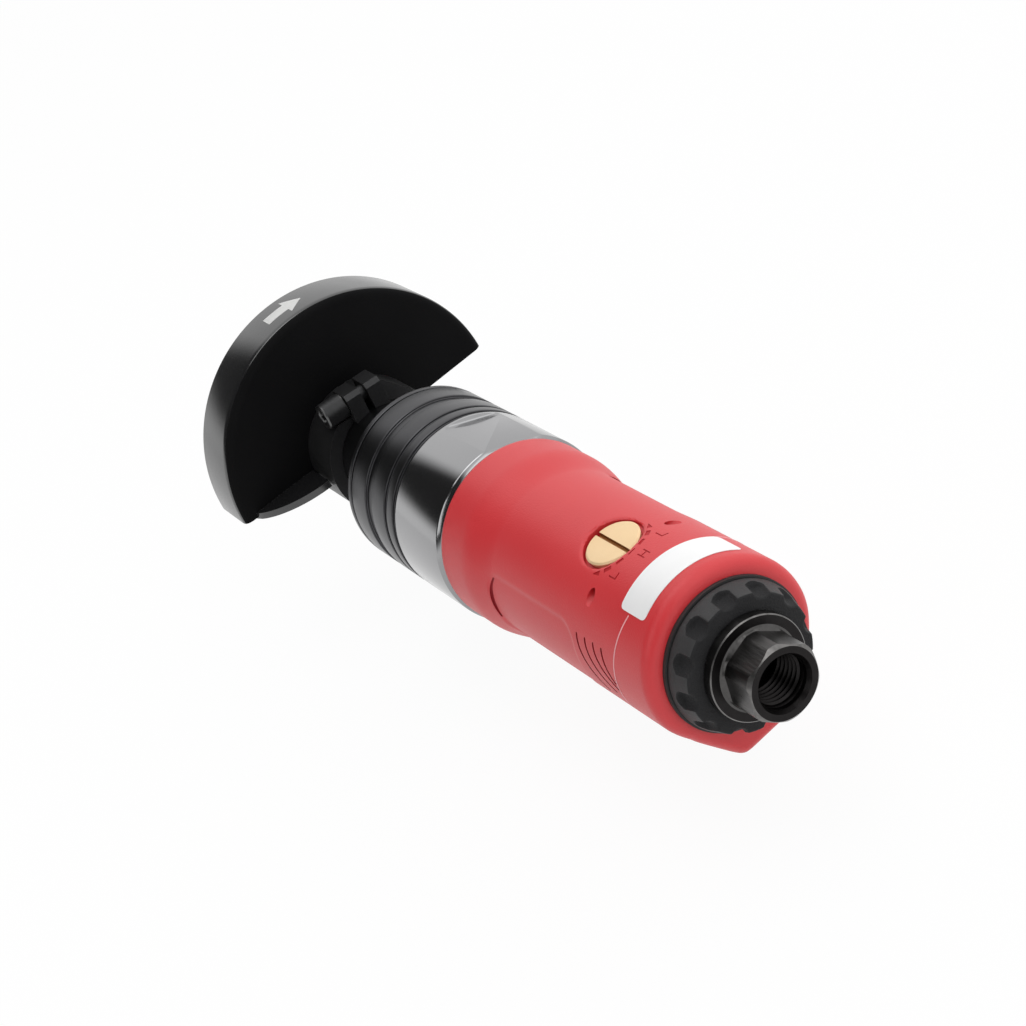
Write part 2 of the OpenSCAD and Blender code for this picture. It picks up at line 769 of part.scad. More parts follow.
module front_collar() {
    face_r = collar_r * collar_face_share;
    grooved = [for (g = groove_shares) each [
        [collar_r, collar_x + g[0] * collar_l],
        [collar_r - ring_groove, collar_x + g[0] * collar_l],
        [collar_r - ring_groove, collar_x + g[1] * collar_l],
        [collar_r, collar_x + g[1] * collar_l]]];
    color("#3a3b3f")
        difference() {
            spin_x(concat([[motor_r + seat_gap, collar_x - spigot_l], [spigot_r, collar_x - spigot_l],
                [spigot_r, collar_x], [collar_r - collar_chamfer, collar_x],
                [collar_r, collar_x + collar_chamfer]], grooved,
                [[collar_r, nose_x - collar_r + face_r], [face_r, nose_x], [nose_r, nose_x],
                [nose_r, nose_end_x], [nose_bearing_r + seat_gap, nose_end_x],
                [nose_bearing_r + seat_gap, nose_pocket_x],
                [spindle_shoulder_r + spindle_bore_gap, nose_pocket_x],
                [spindle_shoulder_r + spindle_bore_gap, shoulder_x],
                [motor_r + seat_gap, shoulder_x]]));
            for (turn = [flat_turn, flat_turn + 180])
                rotate([turn, 0, 0])
                    translate([collar_x - over, -collar_r, collar_r - flat_depth])
                        cube([flat_l + over, 2 * collar_r, flat_depth + over]);
        }
}

// Motor: end plates with bearing pockets, an eccentric cylinder, a slotted rotor and its vanes
shaft_step = 1.2;
shaft_hole_gap = 0.8;
shaft_step_r = shaft_r + shaft_step;
shaft_hole_r = shaft_step_r + shaft_hole_gap;
rotor_end_gap = 0.3;
pocket_gap = 0.2;
port_deg = 40;
port_slot_w = 4;
dowel_r = 1.2;
dowel_l = 8;
dowel_inset = 2.1;
dowel_ring_r = motor_r - dowel_inset;

// Spring washer behind the rear bearing
module wave_washer() {
    color("#a8abb0")
        spin_x([[bearing_r - 2 * wave_t, rear_plate_x - wave_t - wave_rise],
            [bearing_r + 2 * wave_t, rear_plate_x - wave_t],
            [bearing_r + 2 * wave_t, rear_plate_x],
            [bearing_r - 2 * wave_t, rear_plate_x - wave_rise]]);
}

// End plate with its bearing pocket facing away from the cylinder
module end_plate(pocket_x, plate_x) {
    difference() {
        rod_x(plate_x, plate_x + plate_t, motor_r);
        rod_x(plate_x - over, plate_x + plate_t + over, shaft_hole_r);
        rod_x(pocket_x, pocket_x + bearing_w + pocket_gap + over, bearing_r + seat_gap);
        translate([0, 0, -dowel_ring_r])
            rod_x(plate_x - over, plate_x + plate_t + over, dowel_r + seat_gap);
        rotate([180 - port_deg, 0, 0])
            translate([0, 0, (motor_r + bearing_r) / 2])
                rod_x(plate_x - over, plate_x + plate_t + over, feed_r);
    }
}

module rear_end_plate() {
    color("#77797d")
        end_plate(rear_plate_x - over, rear_plate_x);
}

module front_end_plate() {
    color("#77797d")
        end_plate(shoulder_x - bearing_w - pocket_gap, front_plate_x);
}

module motor_cylinder() {
    color("#8a8c90")
        difference() {
            rod_x(cylinder_x, cylinder_x + cylinder_l, motor_r);
            translate([0, 0, eccentric])
                rod_x(cylinder_x - over, cylinder_x + cylinder_l + over, cylinder_bore_r);
            translate([0, 0, -dowel_ring_r])
                rod_x(cylinder_x - over, cylinder_x + cylinder_l + over, dowel_r + seat_gap);
            for (k = [1:4])
                rotate([-port_deg * 2, 0, 0])
                    translate([cylinder_x + cylinder_l * k / 5, 0, 0])
                        cylinder(h = motor_r + over, r = port_slot_w / 2);
        }
}

// Dowel that keeps the cylinder from turning between the plates
module cylinder_pin() {
    color("#9a9da2")
        translate([0, 0, -dowel_ring_r])
            rod_x(cylinder_x - dowel_l / 2, cylinder_x + dowel_l / 2, dowel_r);
}

// Rotor with slots for the vanes and a stub that screws into the spindle
vanes = 5;
stub_step = 1;
stub_r = shaft_r - stub_step;
stub_l = 10;
slot_floor = 0.6;
rotor_x = cylinder_x + rotor_end_gap;
rotor_end_x = cylinder_x + cylinder_l - rotor_end_gap;
rear_bearing_x = rear_plate_x;
front_bearing_x = shoulder_x - bearing_w;
nose_bearing_x = nose_pocket_x;

module rotor() {
    rear_step_x = rear_bearing_x + bearing_w;
    slot_r = rotor_r - vane_h - slot_floor;
    color("#9a9da2")
        difference() {
            spin_x([[0, rear_bearing_x], [shaft_r - seat_gap, rear_bearing_x],
                [shaft_r - seat_gap, rear_step_x], [shaft_step_r, rear_step_x],
                [shaft_step_r, rotor_x], [rotor_r, rotor_x], [rotor_r, rotor_end_x],
                [shaft_step_r, rotor_end_x], [shaft_step_r, front_bearing_x],
                [shaft_r - seat_gap, front_bearing_x], [shaft_r - seat_gap, shoulder_x],
                [stub_r, shoulder_x], [stub_r, shoulder_x + stub_l], [0, shoulder_x + stub_l]]);
            for (k = [0:vanes - 1])
                rotate([360 * k / vanes, 0, 0])
                    translate([rotor_x - over, -vane_t / 2 - run_gap, slot_r])
                        cube([rotor_end_x - rotor_x + 2 * over, vane_t + 2 * run_gap, rotor_r]);
        }
}

// Composite vane lying in its slot, with a bowed inner edge
vane_bow_share = 0.25;

module vane(k) {
    foot = rotor_r - vane_h - slot_floor / 2;
    length = rotor_end_x - rotor_x;
    color("#5b4632")
        rotate([360 * (k - 1) / vanes, 0, 0])
            translate([rotor_x, vane_t / 2, 0])
                rotate([90, 0, 0])
                    linear_extrude(vane_t)
                        polygon([[0, foot + vane_bow_share * vane_h], [vane_bow_share * length, foot],
                            [length - vane_bow_share * length, foot],
                            [length, foot + vane_bow_share * vane_h],
                            [length, rotor_r - slot_floor], [0, rotor_r - slot_floor]]);
}

// Ball bearings: two grooved rings and a row of balls about the tool's axis
ball_r = 1.7;
ball_gap = 0.08;
ring_gap_share = 0.55;
bearing_balls = 9;

module bearing_ring(x, inner, outer, pitch) {
    rotate([0, 90, 0])
        translate([0, 0, x])
            rotate_extrude()
                difference() {
                    translate([inner, 0])
                        square([outer - inner, bearing_w]);
                    translate([pitch, bearing_w / 2])
                        circle(r = ball_r + ball_gap);
                }
}

module outer_ring(x, inner, outer) {
    pitch = (inner + outer) / 2;
    color("#b4b7bb")
        bearing_ring(x, pitch + ring_gap_share * ball_r, outer, pitch);
}

module inner_ring(x, inner, outer) {
    pitch = (inner + outer) / 2;
    color("#b4b7bb")
        bearing_ring(x, inner, pitch - ring_gap_share * ball_r, pitch);
}

module ball_row(x, inner, outer) {
    color("#d0d2d5")
        for (k = [0:bearing_balls - 1])
            rotate([360 * k / bearing_balls, 0, 0])
                translate([x + bearing_w / 2, 0, (inner + outer) / 2])
                    sphere(r = ball_r);
}

module rear_bearing_outer() outer_ring(rear_bearing_x, shaft_r, bearing_r);
module rear_bearing_inner() inner_ring(rear_bearing_x, shaft_r, bearing_r);
module rear_bearing_balls() ball_row(rear_bearing_x, shaft_r, bearing_r);
module front_bearing_outer() outer_ring(front_bearing_x, shaft_r, bearing_r);
module front_bearing_inner() inner_ring(front_bearing_x, shaft_r, bearing_r);
module front_bearing_balls() ball_row(front_bearing_x, shaft_r, bearing_r);
module nose_bearing_outer() outer_ring(nose_bearing_x, spindle_r, nose_bearing_r);
module nose_bearing_inner() inner_ring(nose_bearing_x, spindle_r, nose_bearing_r);
module nose_bearing_balls() ball_row(nose_bearing_x, spindle_r, nose_bearing_r);

// Spindle: screwed onto the rotor, shouldered at the nose bearing and piloted for the wheel
socket_spare = 0.5;
screw_depth = 12;

module spindle() {
    socket_end = shoulder_x + stub_l + socket_spare;
    start = shoulder_x + socket_spare;
    color("#55575b")
        difference() {
            spin_x([[stub_r + seat_gap, start], [spindle_shoulder_r, start],
                [spindle_shoulder_r, nose_bearing_x], [spindle_r - seat_gap, nose_bearing_x],
                [spindle_r - seat_gap, flange_x], [pilot_r, flange_x], [pilot_r, outer_flange_x],
                [0, outer_flange_x], [0, socket_end], [stub_r + seat_gap, socket_end]]);
            rod_x(outer_flange_x - screw_depth, outer_flange_x + over, arbor_screw_r + seat_gap);
        }
}

// Felt dust seal in front of the nose bearing
module nose_seal() {
    seal_x = nose_bearing_x + bearing_w;
    color("#6f6c63")
        ring_x(seal_x, seal_x + nose_seal_l, spindle_r + face_gap, nose_bearing_r);
}

// Wheel flanges with relieved faces, and the screw that clamps the wheel between them
relief = 0.6;
relief_share = 0.72;

module inner_flange() {
    color("#6c6e72")
        difference() {
            rod_x(flange_x, wheel_x, flange_r);
            rod_x(flange_x - over, wheel_x + over, pilot_r + seat_gap);
            rod_x(wheel_x - relief, wheel_x + over, flange_r * relief_share);
        }
}

module outer_flange() {
    color("#6c6e72")
        difference() {
            spin_x([[0, outer_flange_x], [flange_r, outer_flange_x],
                [flange_r, outer_flange_x + outer_flange_t - relief],
                [flange_r - relief, outer_flange_x + outer_flange_t],
                [0, outer_flange_x + outer_flange_t]]);
            rod_x(outer_flange_x - over, arbor_head_x + over, arbor_screw_r + seat_gap);
        }
}

// Socket screw in the spindle's end
socket_flats = 5;
socket_depth_share = 0.55;
head_round_share = 0.12;

module arbor_screw() {
    end = arbor_head_x + arbor_head_h;
    edge = head_round_share * arbor_head_r;
    socket = socket_depth_share * arbor_head_h;
    color("#2c2c2f")
        difference() {
            spin_x([[0, outer_flange_x - screw_depth + socket_spare],
                [arbor_screw_r, outer_flange_x - screw_depth + socket_spare],
                [arbor_screw_r, arbor_head_x], [arbor_head_r, arbor_head_x],
                [arbor_head_r, end - edge], [arbor_head_r - edge, end], [0, end]]);
            translate([end - socket, 0, 0])
                rotate([0, 90, 0])
                    cylinder(h = socket + over, r = socket_flats / 2 / cos(30), $fn = 6);
        }
}

// Guard: pressed half drum with a hub plate, and a finger lip bent back from its left edge
guard_round = 2.6;
round_steps = 6;
lip_back = 11.5;
lip_mid_share = 0.7;
lip_mid_back_share = 0.78;
lip_to_share = 0.91;

// Quarter arc of an outline about a centre, as radius and place along the axis
function corner_arc(r0, x0, r) =
    [for (k = [0:round_steps]) [r0 + r * cos(90 * k / round_steps), x0 - r * sin(90 * k / round_steps)]];

module wheel_guard() {
    rim_x = guard_x + guard_w;
    hole_r = nose_r + run_gap;
    inside_round = guard_round - guard_t;
    hub_r = (hole_r + clamp_r) / 2;
    lip_from = clamp_r + face_gap;
    outer_arc = corner_arc(guard_r - guard_round, guard_x + guard_round, guard_round);
    inner_arc = corner_arc(guard_r - guard_round, guard_x + guard_round, inside_round);
    shell = concat([[guard_r - guard_t, rim_x], [guard_r, rim_x]], outer_arc,
        [[hub_r, guard_x], [hub_r, guard_x + guard_t]],
        [for (k = [0:round_steps]) inner_arc[round_steps - k]]);
    color("#141416")
        rotate([guard_turn, 0, 0])
            union() {
                arc_x(shell, guard_deg);
                ring_x(guard_x, guard_x + guard_t, hole_r, clamp_r);
                translate([guard_x + guard_t / 2, 0, 0])
                    linear_extrude(guard_t)
                        polygon([[0, lip_from], [-lip_back, lip_from],
                            [-lip_back * lip_mid_back_share, lip_mid_share * guard_r],
                            [0, lip_to_share * guard_r]]);
            }
}

// Clamp band round the nose, welded to the guard's hub, with two ears drawn together by a screw
clamp_turn = 8;
ear_gap = 2;
ear_l = 8.2;
ear_proud = 2.5;
ear_bevel = 1.2;
clamp_screw_r = 2.2;
clamp_head_r = 3.6;
clamp_head_h = 6.8;
clamp_screw_share = 0.9;

module at_clamp() {
    rotate([clamp_turn, 0, 0])
        translate([guard_x - clamp_l, 0, 0])
            children();
}

module guard_clamp() {
    ear_span = 2 * ear_w + ear_gap;
    ear_top = [ear_span / 2, ear_reach - ear_bevel];
    web_deg = atan(ear_top[0] / ear_top[1]) + acos(clamp_r / norm(ear_top));
    screw_z = ear_reach * clamp_screw_share - clamp_screw_r / 2;
    color("#1a1a1c")
        at_clamp()
            difference() {
                union() {
                    rod_x(ear_proud, clamp_l, clamp_r);
                    translate([0, ear_span / 2, 0])
                        rotate([90, 0, 0])
                            linear_extrude(ear_span)
                                polygon([[0, 0], [ear_l, 0], [ear_l, ear_reach], [ear_bevel, ear_reach],
                                    [0, ear_reach - ear_bevel]]);
                    translate([ear_proud, 0, 0])
                        rotate([90, 0, 90])
                            linear_extrude(ear_l - ear_proud)
                                polygon([[0, 0], [-ear_span / 2, ear_reach - ear_bevel],
                                    [-clamp_r * sin(web_deg), clamp_r * cos(web_deg)]]);
                }
                rod_x(-over, clamp_l + over, nose_r + run_gap);
                translate([-over, -ear_gap / 2, 0])
                    cube([clamp_l + 2 * over, ear_gap, ear_reach + over]);
                rod_y(ear_l / 2, screw_z, ear_span + over, clamp_screw_r + seat_gap);
                translate([ear_l / 2, ear_span / 2, screw_z])
                    rotate([-90, 0, 0])
                        cylinder(h = clamp_r, r = clamp_head_r + face_gap);
            }
}

module clamp_screw() {
    ear_span = 2 * ear_w + ear_gap;
    screw_z = ear_reach * clamp_screw_share - clamp_screw_r / 2;
    color("#2c2c2f")
        at_clamp()
            translate([ear_l / 2, ear_span / 2, screw_z])
                rotate([90, 0, 0])
                    difference() {
                        union() {
                            cylinder(h = ear_span, r = clamp_screw_r);
                            translate([0, 0, -clamp_head_h])
                                cylinder(h = clamp_head_h, r = clamp_head_r);
                        }
                        translate([0, 0, -clamp_head_h - over])
                            cylinder(h = clamp_head_h * socket_depth_share + over,
                                r = clamp_screw_r, $fn = 6);
                    }
}

handle_housing();
front_collar();
inlet_bushing();
inlet_screen();
exhaust_deflector();
deflector_washer();
muffler();
regulator();
regulator_seal();
regulator_pin();
throttle_valve();
valve_seat();
valve_spring();
stem_seal();
throttle_lever();
lever_pin();
safety_latch();
latch_pin();
latch_spring();
wave_washer();
rear_end_plate();
motor_cylinder();
front_end_plate();
cylinder_pin();
rotor();
vane(1);  // vane_1
vane(2);  // vane_2
vane(3);  // vane_3
vane(4);  // vane_4
vane(5);  // vane_5
rear_bearing_outer();
rear_bearing_inner();
rear_bearing_balls();
front_bearing_outer();
front_bearing_inner();
front_bearing_balls();
nose_bearing_outer();
nose_bearing_inner();
nose_bearing_balls();
spindle();
nose_seal();
inner_flange();
outer_flange();
arbor_screw();
wheel_guard();
guard_clamp();
clamp_screw();
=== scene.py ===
import json
import math

import bmesh
import bpy
from mathutils import Matrix, Vector


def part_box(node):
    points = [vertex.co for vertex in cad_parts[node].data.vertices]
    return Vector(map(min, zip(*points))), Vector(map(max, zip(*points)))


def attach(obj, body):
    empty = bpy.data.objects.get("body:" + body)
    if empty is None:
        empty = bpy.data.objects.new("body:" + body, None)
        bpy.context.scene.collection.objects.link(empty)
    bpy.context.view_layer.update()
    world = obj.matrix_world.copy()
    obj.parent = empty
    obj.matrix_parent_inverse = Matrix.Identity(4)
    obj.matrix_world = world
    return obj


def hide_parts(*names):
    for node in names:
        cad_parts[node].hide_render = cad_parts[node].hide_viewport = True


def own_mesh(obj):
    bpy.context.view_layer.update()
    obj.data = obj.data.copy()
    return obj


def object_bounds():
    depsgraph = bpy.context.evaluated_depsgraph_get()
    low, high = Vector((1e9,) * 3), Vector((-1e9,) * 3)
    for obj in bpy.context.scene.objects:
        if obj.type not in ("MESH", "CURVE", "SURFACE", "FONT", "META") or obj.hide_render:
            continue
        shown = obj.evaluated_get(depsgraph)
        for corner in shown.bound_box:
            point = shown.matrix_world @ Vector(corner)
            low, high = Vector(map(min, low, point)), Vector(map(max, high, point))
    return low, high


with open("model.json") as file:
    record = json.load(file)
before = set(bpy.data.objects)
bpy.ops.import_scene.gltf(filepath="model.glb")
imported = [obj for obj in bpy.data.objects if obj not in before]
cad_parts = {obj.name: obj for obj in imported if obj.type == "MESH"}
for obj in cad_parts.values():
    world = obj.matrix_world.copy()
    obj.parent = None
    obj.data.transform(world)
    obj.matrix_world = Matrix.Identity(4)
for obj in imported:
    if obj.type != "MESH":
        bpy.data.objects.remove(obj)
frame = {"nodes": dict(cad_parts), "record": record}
cad_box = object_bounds()

# Studio: the camera stands behind the air inlet, above and to the left, and is rolled so that
# the tool lies across the picture. The floor is white paper, and the lamps are soft and plain.
camera_place = (-0.3740, 0.1185, 0.3064)
camera_right = (-0.4796, -0.7329, -0.4826)
camera_up = (0.2806, -0.6491, 0.7070)
camera_back = (-0.8314, 0.2037, 0.5170)
camera_data = bpy.data.cameras.new("camera")
camera_data.lens = 84.2
camera_data.sensor_width = 36
camera_data.clip_start = 0.01
camera = bpy.data.objects.new("camera", camera_data)
camera.matrix_world = Matrix.Translation(camera_place) @ Matrix(
    (camera_right, camera_up, camera_back)).transposed().to_4x4()
bpy.context.scene.collection.objects.link(camera)
bpy.context.scene.camera = camera
bpy.context.scene.view_settings.view_transform = "Standard"


def add_node(tree, kind, settings=None, **sockets):
    """Adds a shader node: settings are its own properties, sockets its input values or links."""
    made = tree.nodes.new(kind)
    for key, value in (settings or {}).items():
        setattr(made, key, value)
    for key, value in sockets.items():
        socket = made.inputs[key.replace("_", " ") if key.replace("_", " ") in made.inputs else key]
        if isinstance(value, bpy.types.NodeSocket):
            tree.links.new(value, socket)
        else:
            socket.default_value = value
    return made


def seen_share(tree, share):
    """Share for rays that come from the camera, a gloss or a glass, and none for light itself."""
    path = add_node(tree, "ShaderNodeLightPath")
    total = path.outputs["Is Camera Ray"]
    for kind in ("Is Glossy Ray", "Is Transmission Ray"):
        join = add_node(tree, "ShaderNodeMath", {"operation": "MAXIMUM"})
        tree.links.new(total, join.inputs[0])
        tree.links.new(path.outputs[kind], join.inputs[1])
        total = join.outputs[0]
    scaled = add_node(tree, "ShaderNodeMath", {"operation": "MULTIPLY"})
    tree.links.new(total, scaled.inputs[0])
    scaled.inputs[1].default_value = share
    return scaled.outputs[0]


def mix_colours(tree, share, first, second):
    """Colour from the first to the second by a share: sockets 6, 7 and 2 are the mix node's colours."""
    mix = add_node(tree, "ShaderNodeMix", {"data_type": "RGBA"})
    tree.links.new(share, mix.inputs[0])
    mix.inputs[6].default_value = (*first, 1)
    mix.inputs[7].default_value = (*second, 1)
    return mix.outputs[2]


tool_middle = Vector((0.1, 0, 0))
floor_colour = (0.9, 0.9, 0.9, 1)
floor_glow = 0.94
floor_size = 6.0
floor_drop = 0.0005
floor_material = bpy.data.materials.new("floor_paper")
floor_material.use_nodes = True
floor_tree = floor_material.node_tree
floor_tree.nodes.remove(floor_tree.nodes["Principled BSDF"])
matt = add_node(floor_tree, "ShaderNodeBsdfDiffuse", Color=floor_colour)
glow = add_node(floor_tree, "ShaderNodeEmission", Color=(1, 1, 1, 1), Strength=1.0)
paper = add_node(floor_tree, "ShaderNodeMixShader", Fac=seen_share(floor_tree, floor_glow))
floor_tree.links.new(matt.outputs[0], paper.inputs[1])
floor_tree.links.new(glow.outputs[0], paper.inputs[2])
floor_tree.links.new(paper.outputs[0], floor_tree.nodes["Material Output"].inputs["Surface"])

floor_bm = bmesh.new()
bmesh.ops.create_grid(floor_bm, x_segments=8, y_segments=8, size=floor_size)
bmesh.ops.translate(floor_bm, verts=floor_bm.verts, vec=(tool_middle.x, 0, cad_box[0].z - floor_drop))
floor_mesh = bpy.data.meshes.new("floor")
floor_bm.to_mesh(floor_mesh)
floor_bm.free()
floor_mesh.materials.append(floor_material)
floor = bpy.data.objects.new("floor", floor_mesh)
bpy.context.scene.collection.objects.link(floor)

wall_light = (0.95, 0.95, 0.95)
wall_dark = (0.03, 0.03, 0.03)
wall_strength = 1.2
dark_reaches = (("Y", -0.02, 0.16), ("Z", 0.08, 0.26))
world = bpy.data.worlds.new("studio")
world.use_nodes = True
bpy.context.scene.world = world
sky = world.node_tree
sky.nodes.remove(sky.nodes["Background"])
look = add_node(sky, "ShaderNodeTexCoord")
axes = add_node(sky, "ShaderNodeSeparateXYZ", Vector=look.outputs["Generated"])
shade = add_node(sky, "ShaderNodeMath", {"operation": "MULTIPLY"})
for k, (axis, clear, full) in enumerate(dark_reaches):
    reach = add_node(sky, "ShaderNodeMapRange", {"interpolation_type": "SMOOTHSTEP"},
                     Value=axes.outputs[axis])
    reach.inputs["From Min"].default_value = clear
    reach.inputs["From Max"].default_value = full
    sky.links.new(reach.outputs[0], shade.inputs[k])
wall_tone = mix_colours(sky, shade.outputs[0], wall_light, wall_dark)
walls = add_node(sky, "ShaderNodeBackground", Color=wall_tone, Strength=wall_strength)
backdrop = add_node(sky, "ShaderNodeBackground", Color=(1, 1, 1, 1), Strength=1.0)
sky_ray = add_node(sky, "ShaderNodeLightPath")
air = add_node(sky, "ShaderNodeMixShader", Fac=sky_ray.outputs["Is Camera Ray"])
sky.links.new(walls.outputs[0], air.inputs[1])
sky.links.new(backdrop.outputs[0], air.inputs[2])
sky.links.new(air.outputs[0], sky.nodes["World Output"].inputs["Surface"])

for lamp_name, lamp_place, lamp_size, lamp_power in (
        ("lamp_left", (-0.15, 1.1, 0.9), 0.9, 3.8),
        ("lamp_right", (0.1, -1.2, 0.8), 0.9, 1.5),
        ("lamp_back", (-0.9, -0.3, 1.0), 0.7, 1.5),
        ("lamp_top", (0.25, 0.0, 1.3), 0.9, 4.5)):
    lamp_data = bpy.data.lights.new(lamp_name, "AREA")
    lamp_data.size = lamp_size
    lamp_data.energy = lamp_power
    lamp = bpy.data.objects.new(lamp_name, lamp_data)
    lamp.matrix_world = Matrix.Translation(lamp_place) @ (
        tool_middle - Vector(lamp_place)).to_track_quat("-Z", "Y").to_matrix().to_4x4()
    bpy.context.scene.collection.objects.link(lamp)

# Handle: one moulding in red glass-filled nylon with a soft-touch satin skin. Round on top and
# flat at the flanks and belly, it flares to a lip where the steel collar is screwed in.
mm = 0.001
handle_low, handle_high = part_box("handle_housing")
handle_x = handle_low.x
handle_l = handle_high.x - handle_low.x
grip_r = 21.4 * mm
lip_r = 23.2 * mm
lip_l = 10.5 * mm
lip_blend_l = 12.5 * mm
grip_round = 3 * mm
lip_round = 0.8 * mm
flank_r = 21.2 * mm
flank_turn = math.radians(122)
belly_r = 24 * mm
blend_power = 40
crown_open = 0.4
least_cosine = 0.05
valve_x = sum(corner.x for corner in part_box("throttle_valve")) / 2


def ease(u):
    """Smooth step from 0 to 1."""
    c = min(max(u, 0.0), 1.0)
    return c * c * (3 - 2 * c)


def edge_drop(d, r):
    """Drop of a quarter-round edge at a distance d from it."""
    return r - math.sqrt(r * r - (r - d) ** 2) if d < r else 0.0


def handle_r(s, turn):
    """Radius of the plain handle at a distance from its back and a turn from straight up."""
    a = abs((turn + math.pi) % (2 * math.pi) - math.pi)
    below = max(0.0, a - flank_turn) / (math.pi - flank_turn)
    crown = grip_r * (1 + crown_open * below)
    flank = flank_r / max(math.cos(a - flank_turn), least_cosine)
    belly = belly_r / max(math.cos(math.pi - a), least_cosine)
    section = sum((r / grip_r) ** -blend_power for r in (crown, flank, belly)) ** (-1 / blend_power) * grip_r
    t = ease((s - handle_l + lip_l + lip_blend_l) / lip_blend_l)
    return section * (1 - t) + lip_r * t - edge_drop(s, grip_round) - edge_drop(handle_l - s, lip_round)


def on_handle(x, turn, proud=0.0):
    """Point on the handle's skin at a place along the tool and a turn from straight up."""
    r = handle_r(x - handle_x, turn) + proud
    return Vector((x, r * math.sin(turn), r * math.cos(turn)))


def ring_tube(bm, rings, around, closed):
    """Draws one circle and extrudes it from ring to ring; a ring gives a point for each turn."""
    turn = bm.verts.layers.float.get("turn") or bm.verts.layers.float.new("turn")
    circle = bmesh.ops.create_circle(bm, segments=around, radius=1.0)["verts"]
    for k, vert in enumerate(circle):
        vert[turn] = 2 * math.pi * k / around
        vert.co = rings[0](vert[turn])
    first = loop = list(dict.fromkeys(edge for vert in circle for edge in vert.link_edges))
    for ring in rings[1:]:
        grown = bmesh.ops.extrude_edge_only(bm, edges=loop)["geom"]
        fresh = {g for g in grown if isinstance(g, bmesh.types.BMVert)}
        loop = [g for g in grown if isinstance(g, bmesh.types.BMEdge) and set(g.verts) <= fresh]
        for vert in fresh:
            vert.co = ring(vert[turn])
    if closed:
        bmesh.ops.bridge_loops(bm, edges=first + loop)
    else:
        bmesh.ops.edgeloop_fill(bm, edges=first)
        bmesh.ops.edgeloop_fill(bm, edges=loop)
    bmesh.ops.recalc_face_normals(bm, faces=bm.faces)


def round_ring(x, r):
    """Ring of one radius about the tool's axis."""
    return lambda turn: Vector((x, r * math.sin(turn), r * math.cos(turn)))


def bar_rings(path, radii, sink):
    """Rings of a round bar along places and turns on the handle, its middle sunk below the skin."""
    middles = [on_handle(x, turn, -sink) for x, turn in path]
    rings = []
    for k, (x, turn) in enumerate(path):
        ahead = middles[min(k + 1, len(path) - 1)] - middles[max(k - 1, 0)]
        out = Vector((0, math.sin(turn), math.cos(turn)))
        side = ahead.cross(out).normalized()
        rings.append(lambda a, c=middles[k], u=out, s=side, r=radii[k]:
                     c + r * (math.cos(a) * u + math.sin(a) * s))
    return rings


def pull(bm, by):
    """Extrudes all faces of a flat bmesh along a vector."""
    grown = bmesh.ops.extrude_face_region(bm, geom=list(bm.faces))["geom"]
    bmesh.ops.translate(bm, verts=[g for g in grown if isinstance(g, bmesh.types.BMVert)], vec=by)


def place(bm, name, materials, sharp_deg=35):
    """Turns a bmesh into an object of the scene, smooth but for its sharp edges."""
    mesh = bpy.data.meshes.new(name)
    bm.to_mesh(mesh)
    bm.free()
    for material in materials:
        mesh.materials.append(material)
    mesh.shade_smooth()
    mesh.set_sharp_from_angle(angle=math.radians(sharp_deg))
    piece = bpy.data.objects.new(name, mesh)
    bpy.context.scene.collection.objects.link(piece)
    return piece


def cut(piece, tool, operation="DIFFERENCE", crossed=False, sharp_deg=35):
    """Cuts a tool, which may cross itself, out of a piece for good or joins it on, and removes it."""
    modifier = piece.modifiers.new("cut", "BOOLEAN")
    modifier.object = tool
    modifier.operation = operation
    modifier.solver = "EXACT"
    modifier.use_self = crossed
    bpy.context.view_layer.update()
    result = bpy.data.meshes.new_from_object(piece.evaluated_get(bpy.context.evaluated_depsgraph_get()))
    piece.modifiers.clear()
    piece.data = result
    bpy.data.objects.remove(tool)
    result.shade_smooth()
    result.set_sharp_from_angle(angle=math.radians(sharp_deg))


def paint(tool, index):
    """Gives all faces of a tool one of its materials."""
    for polygon in tool.data.polygons:
        polygon.material_index = index


def surface(name, light, dark, rough, metal=0.0, cloud=60.0, grain=2500.0, grain_depth=0.02,
            stretch=(1, 1, 1), shine=0.5):
    """Procedural finish: two close tones in soft clouds, uneven gloss and a fine grained skin."""
    material = bpy.data.materials.new(name)
    material.use_nodes = True
    tree = material.node_tree
    shader = tree.nodes["Principled BSDF"]
    shader.inputs["Metallic"].default_value = metal
    shader.inputs["Specular IOR Level"].default_value = shine
    spot = add_node(tree, "ShaderNodeTexCoord")
    spread = add_node(tree, "ShaderNodeMapping", Vector=spot.outputs["Object"], Scale=stretch)
    clouds = add_node(tree, "ShaderNodeTexNoise", Vector=spread.outputs[0], Scale=cloud, Detail=4.0)
    tone = mix_colours(tree, clouds.outputs["Fac"], dark, light)
    tree.links.new(tone, shader.inputs["Base Color"])
    specks = add_node(tree, "ShaderNodeTexNoise", Vector=spread.outputs[0], Scale=grain, Detail=2.0)
    gloss = add_node(tree, "ShaderNodeMapRange", Value=specks.outputs["Fac"])
    gloss.inputs["To Min"].default_value = rough[0]
    gloss.inputs["To Max"].default_value = rough[1]
    tree.links.new(gloss.outputs[0], shader.inputs["Roughness"])
    skin = add_node(tree, "ShaderNodeBump", Height=specks.outputs["Fac"], Strength=grain_depth,
                    Distance=0.001)
    tree.links.new(skin.outputs[0], shader.inputs["Normal"])
    return material


red_skin = surface("red_skin", (0.64, 0.035, 0.042), (0.56, 0.024, 0.03), (0.38, 0.5), cloud=40, grain=2600,
                   grain_depth=0.10)
# Darker reds on the faces of the grooves and of the dial marks: painted shade in these recesses.
groove_floor_shade = surface("groove_floor_shade", (0.30, 0.006, 0.012), (0.24, 0.004, 0.009), (0.5, 0.6), shine=0.2)
dial_marks_shade = surface("dial_marks_shade", (0.46, 0.012, 0.018), (0.40, 0.010, 0.015), (0.5, 0.6), shine=0.3)

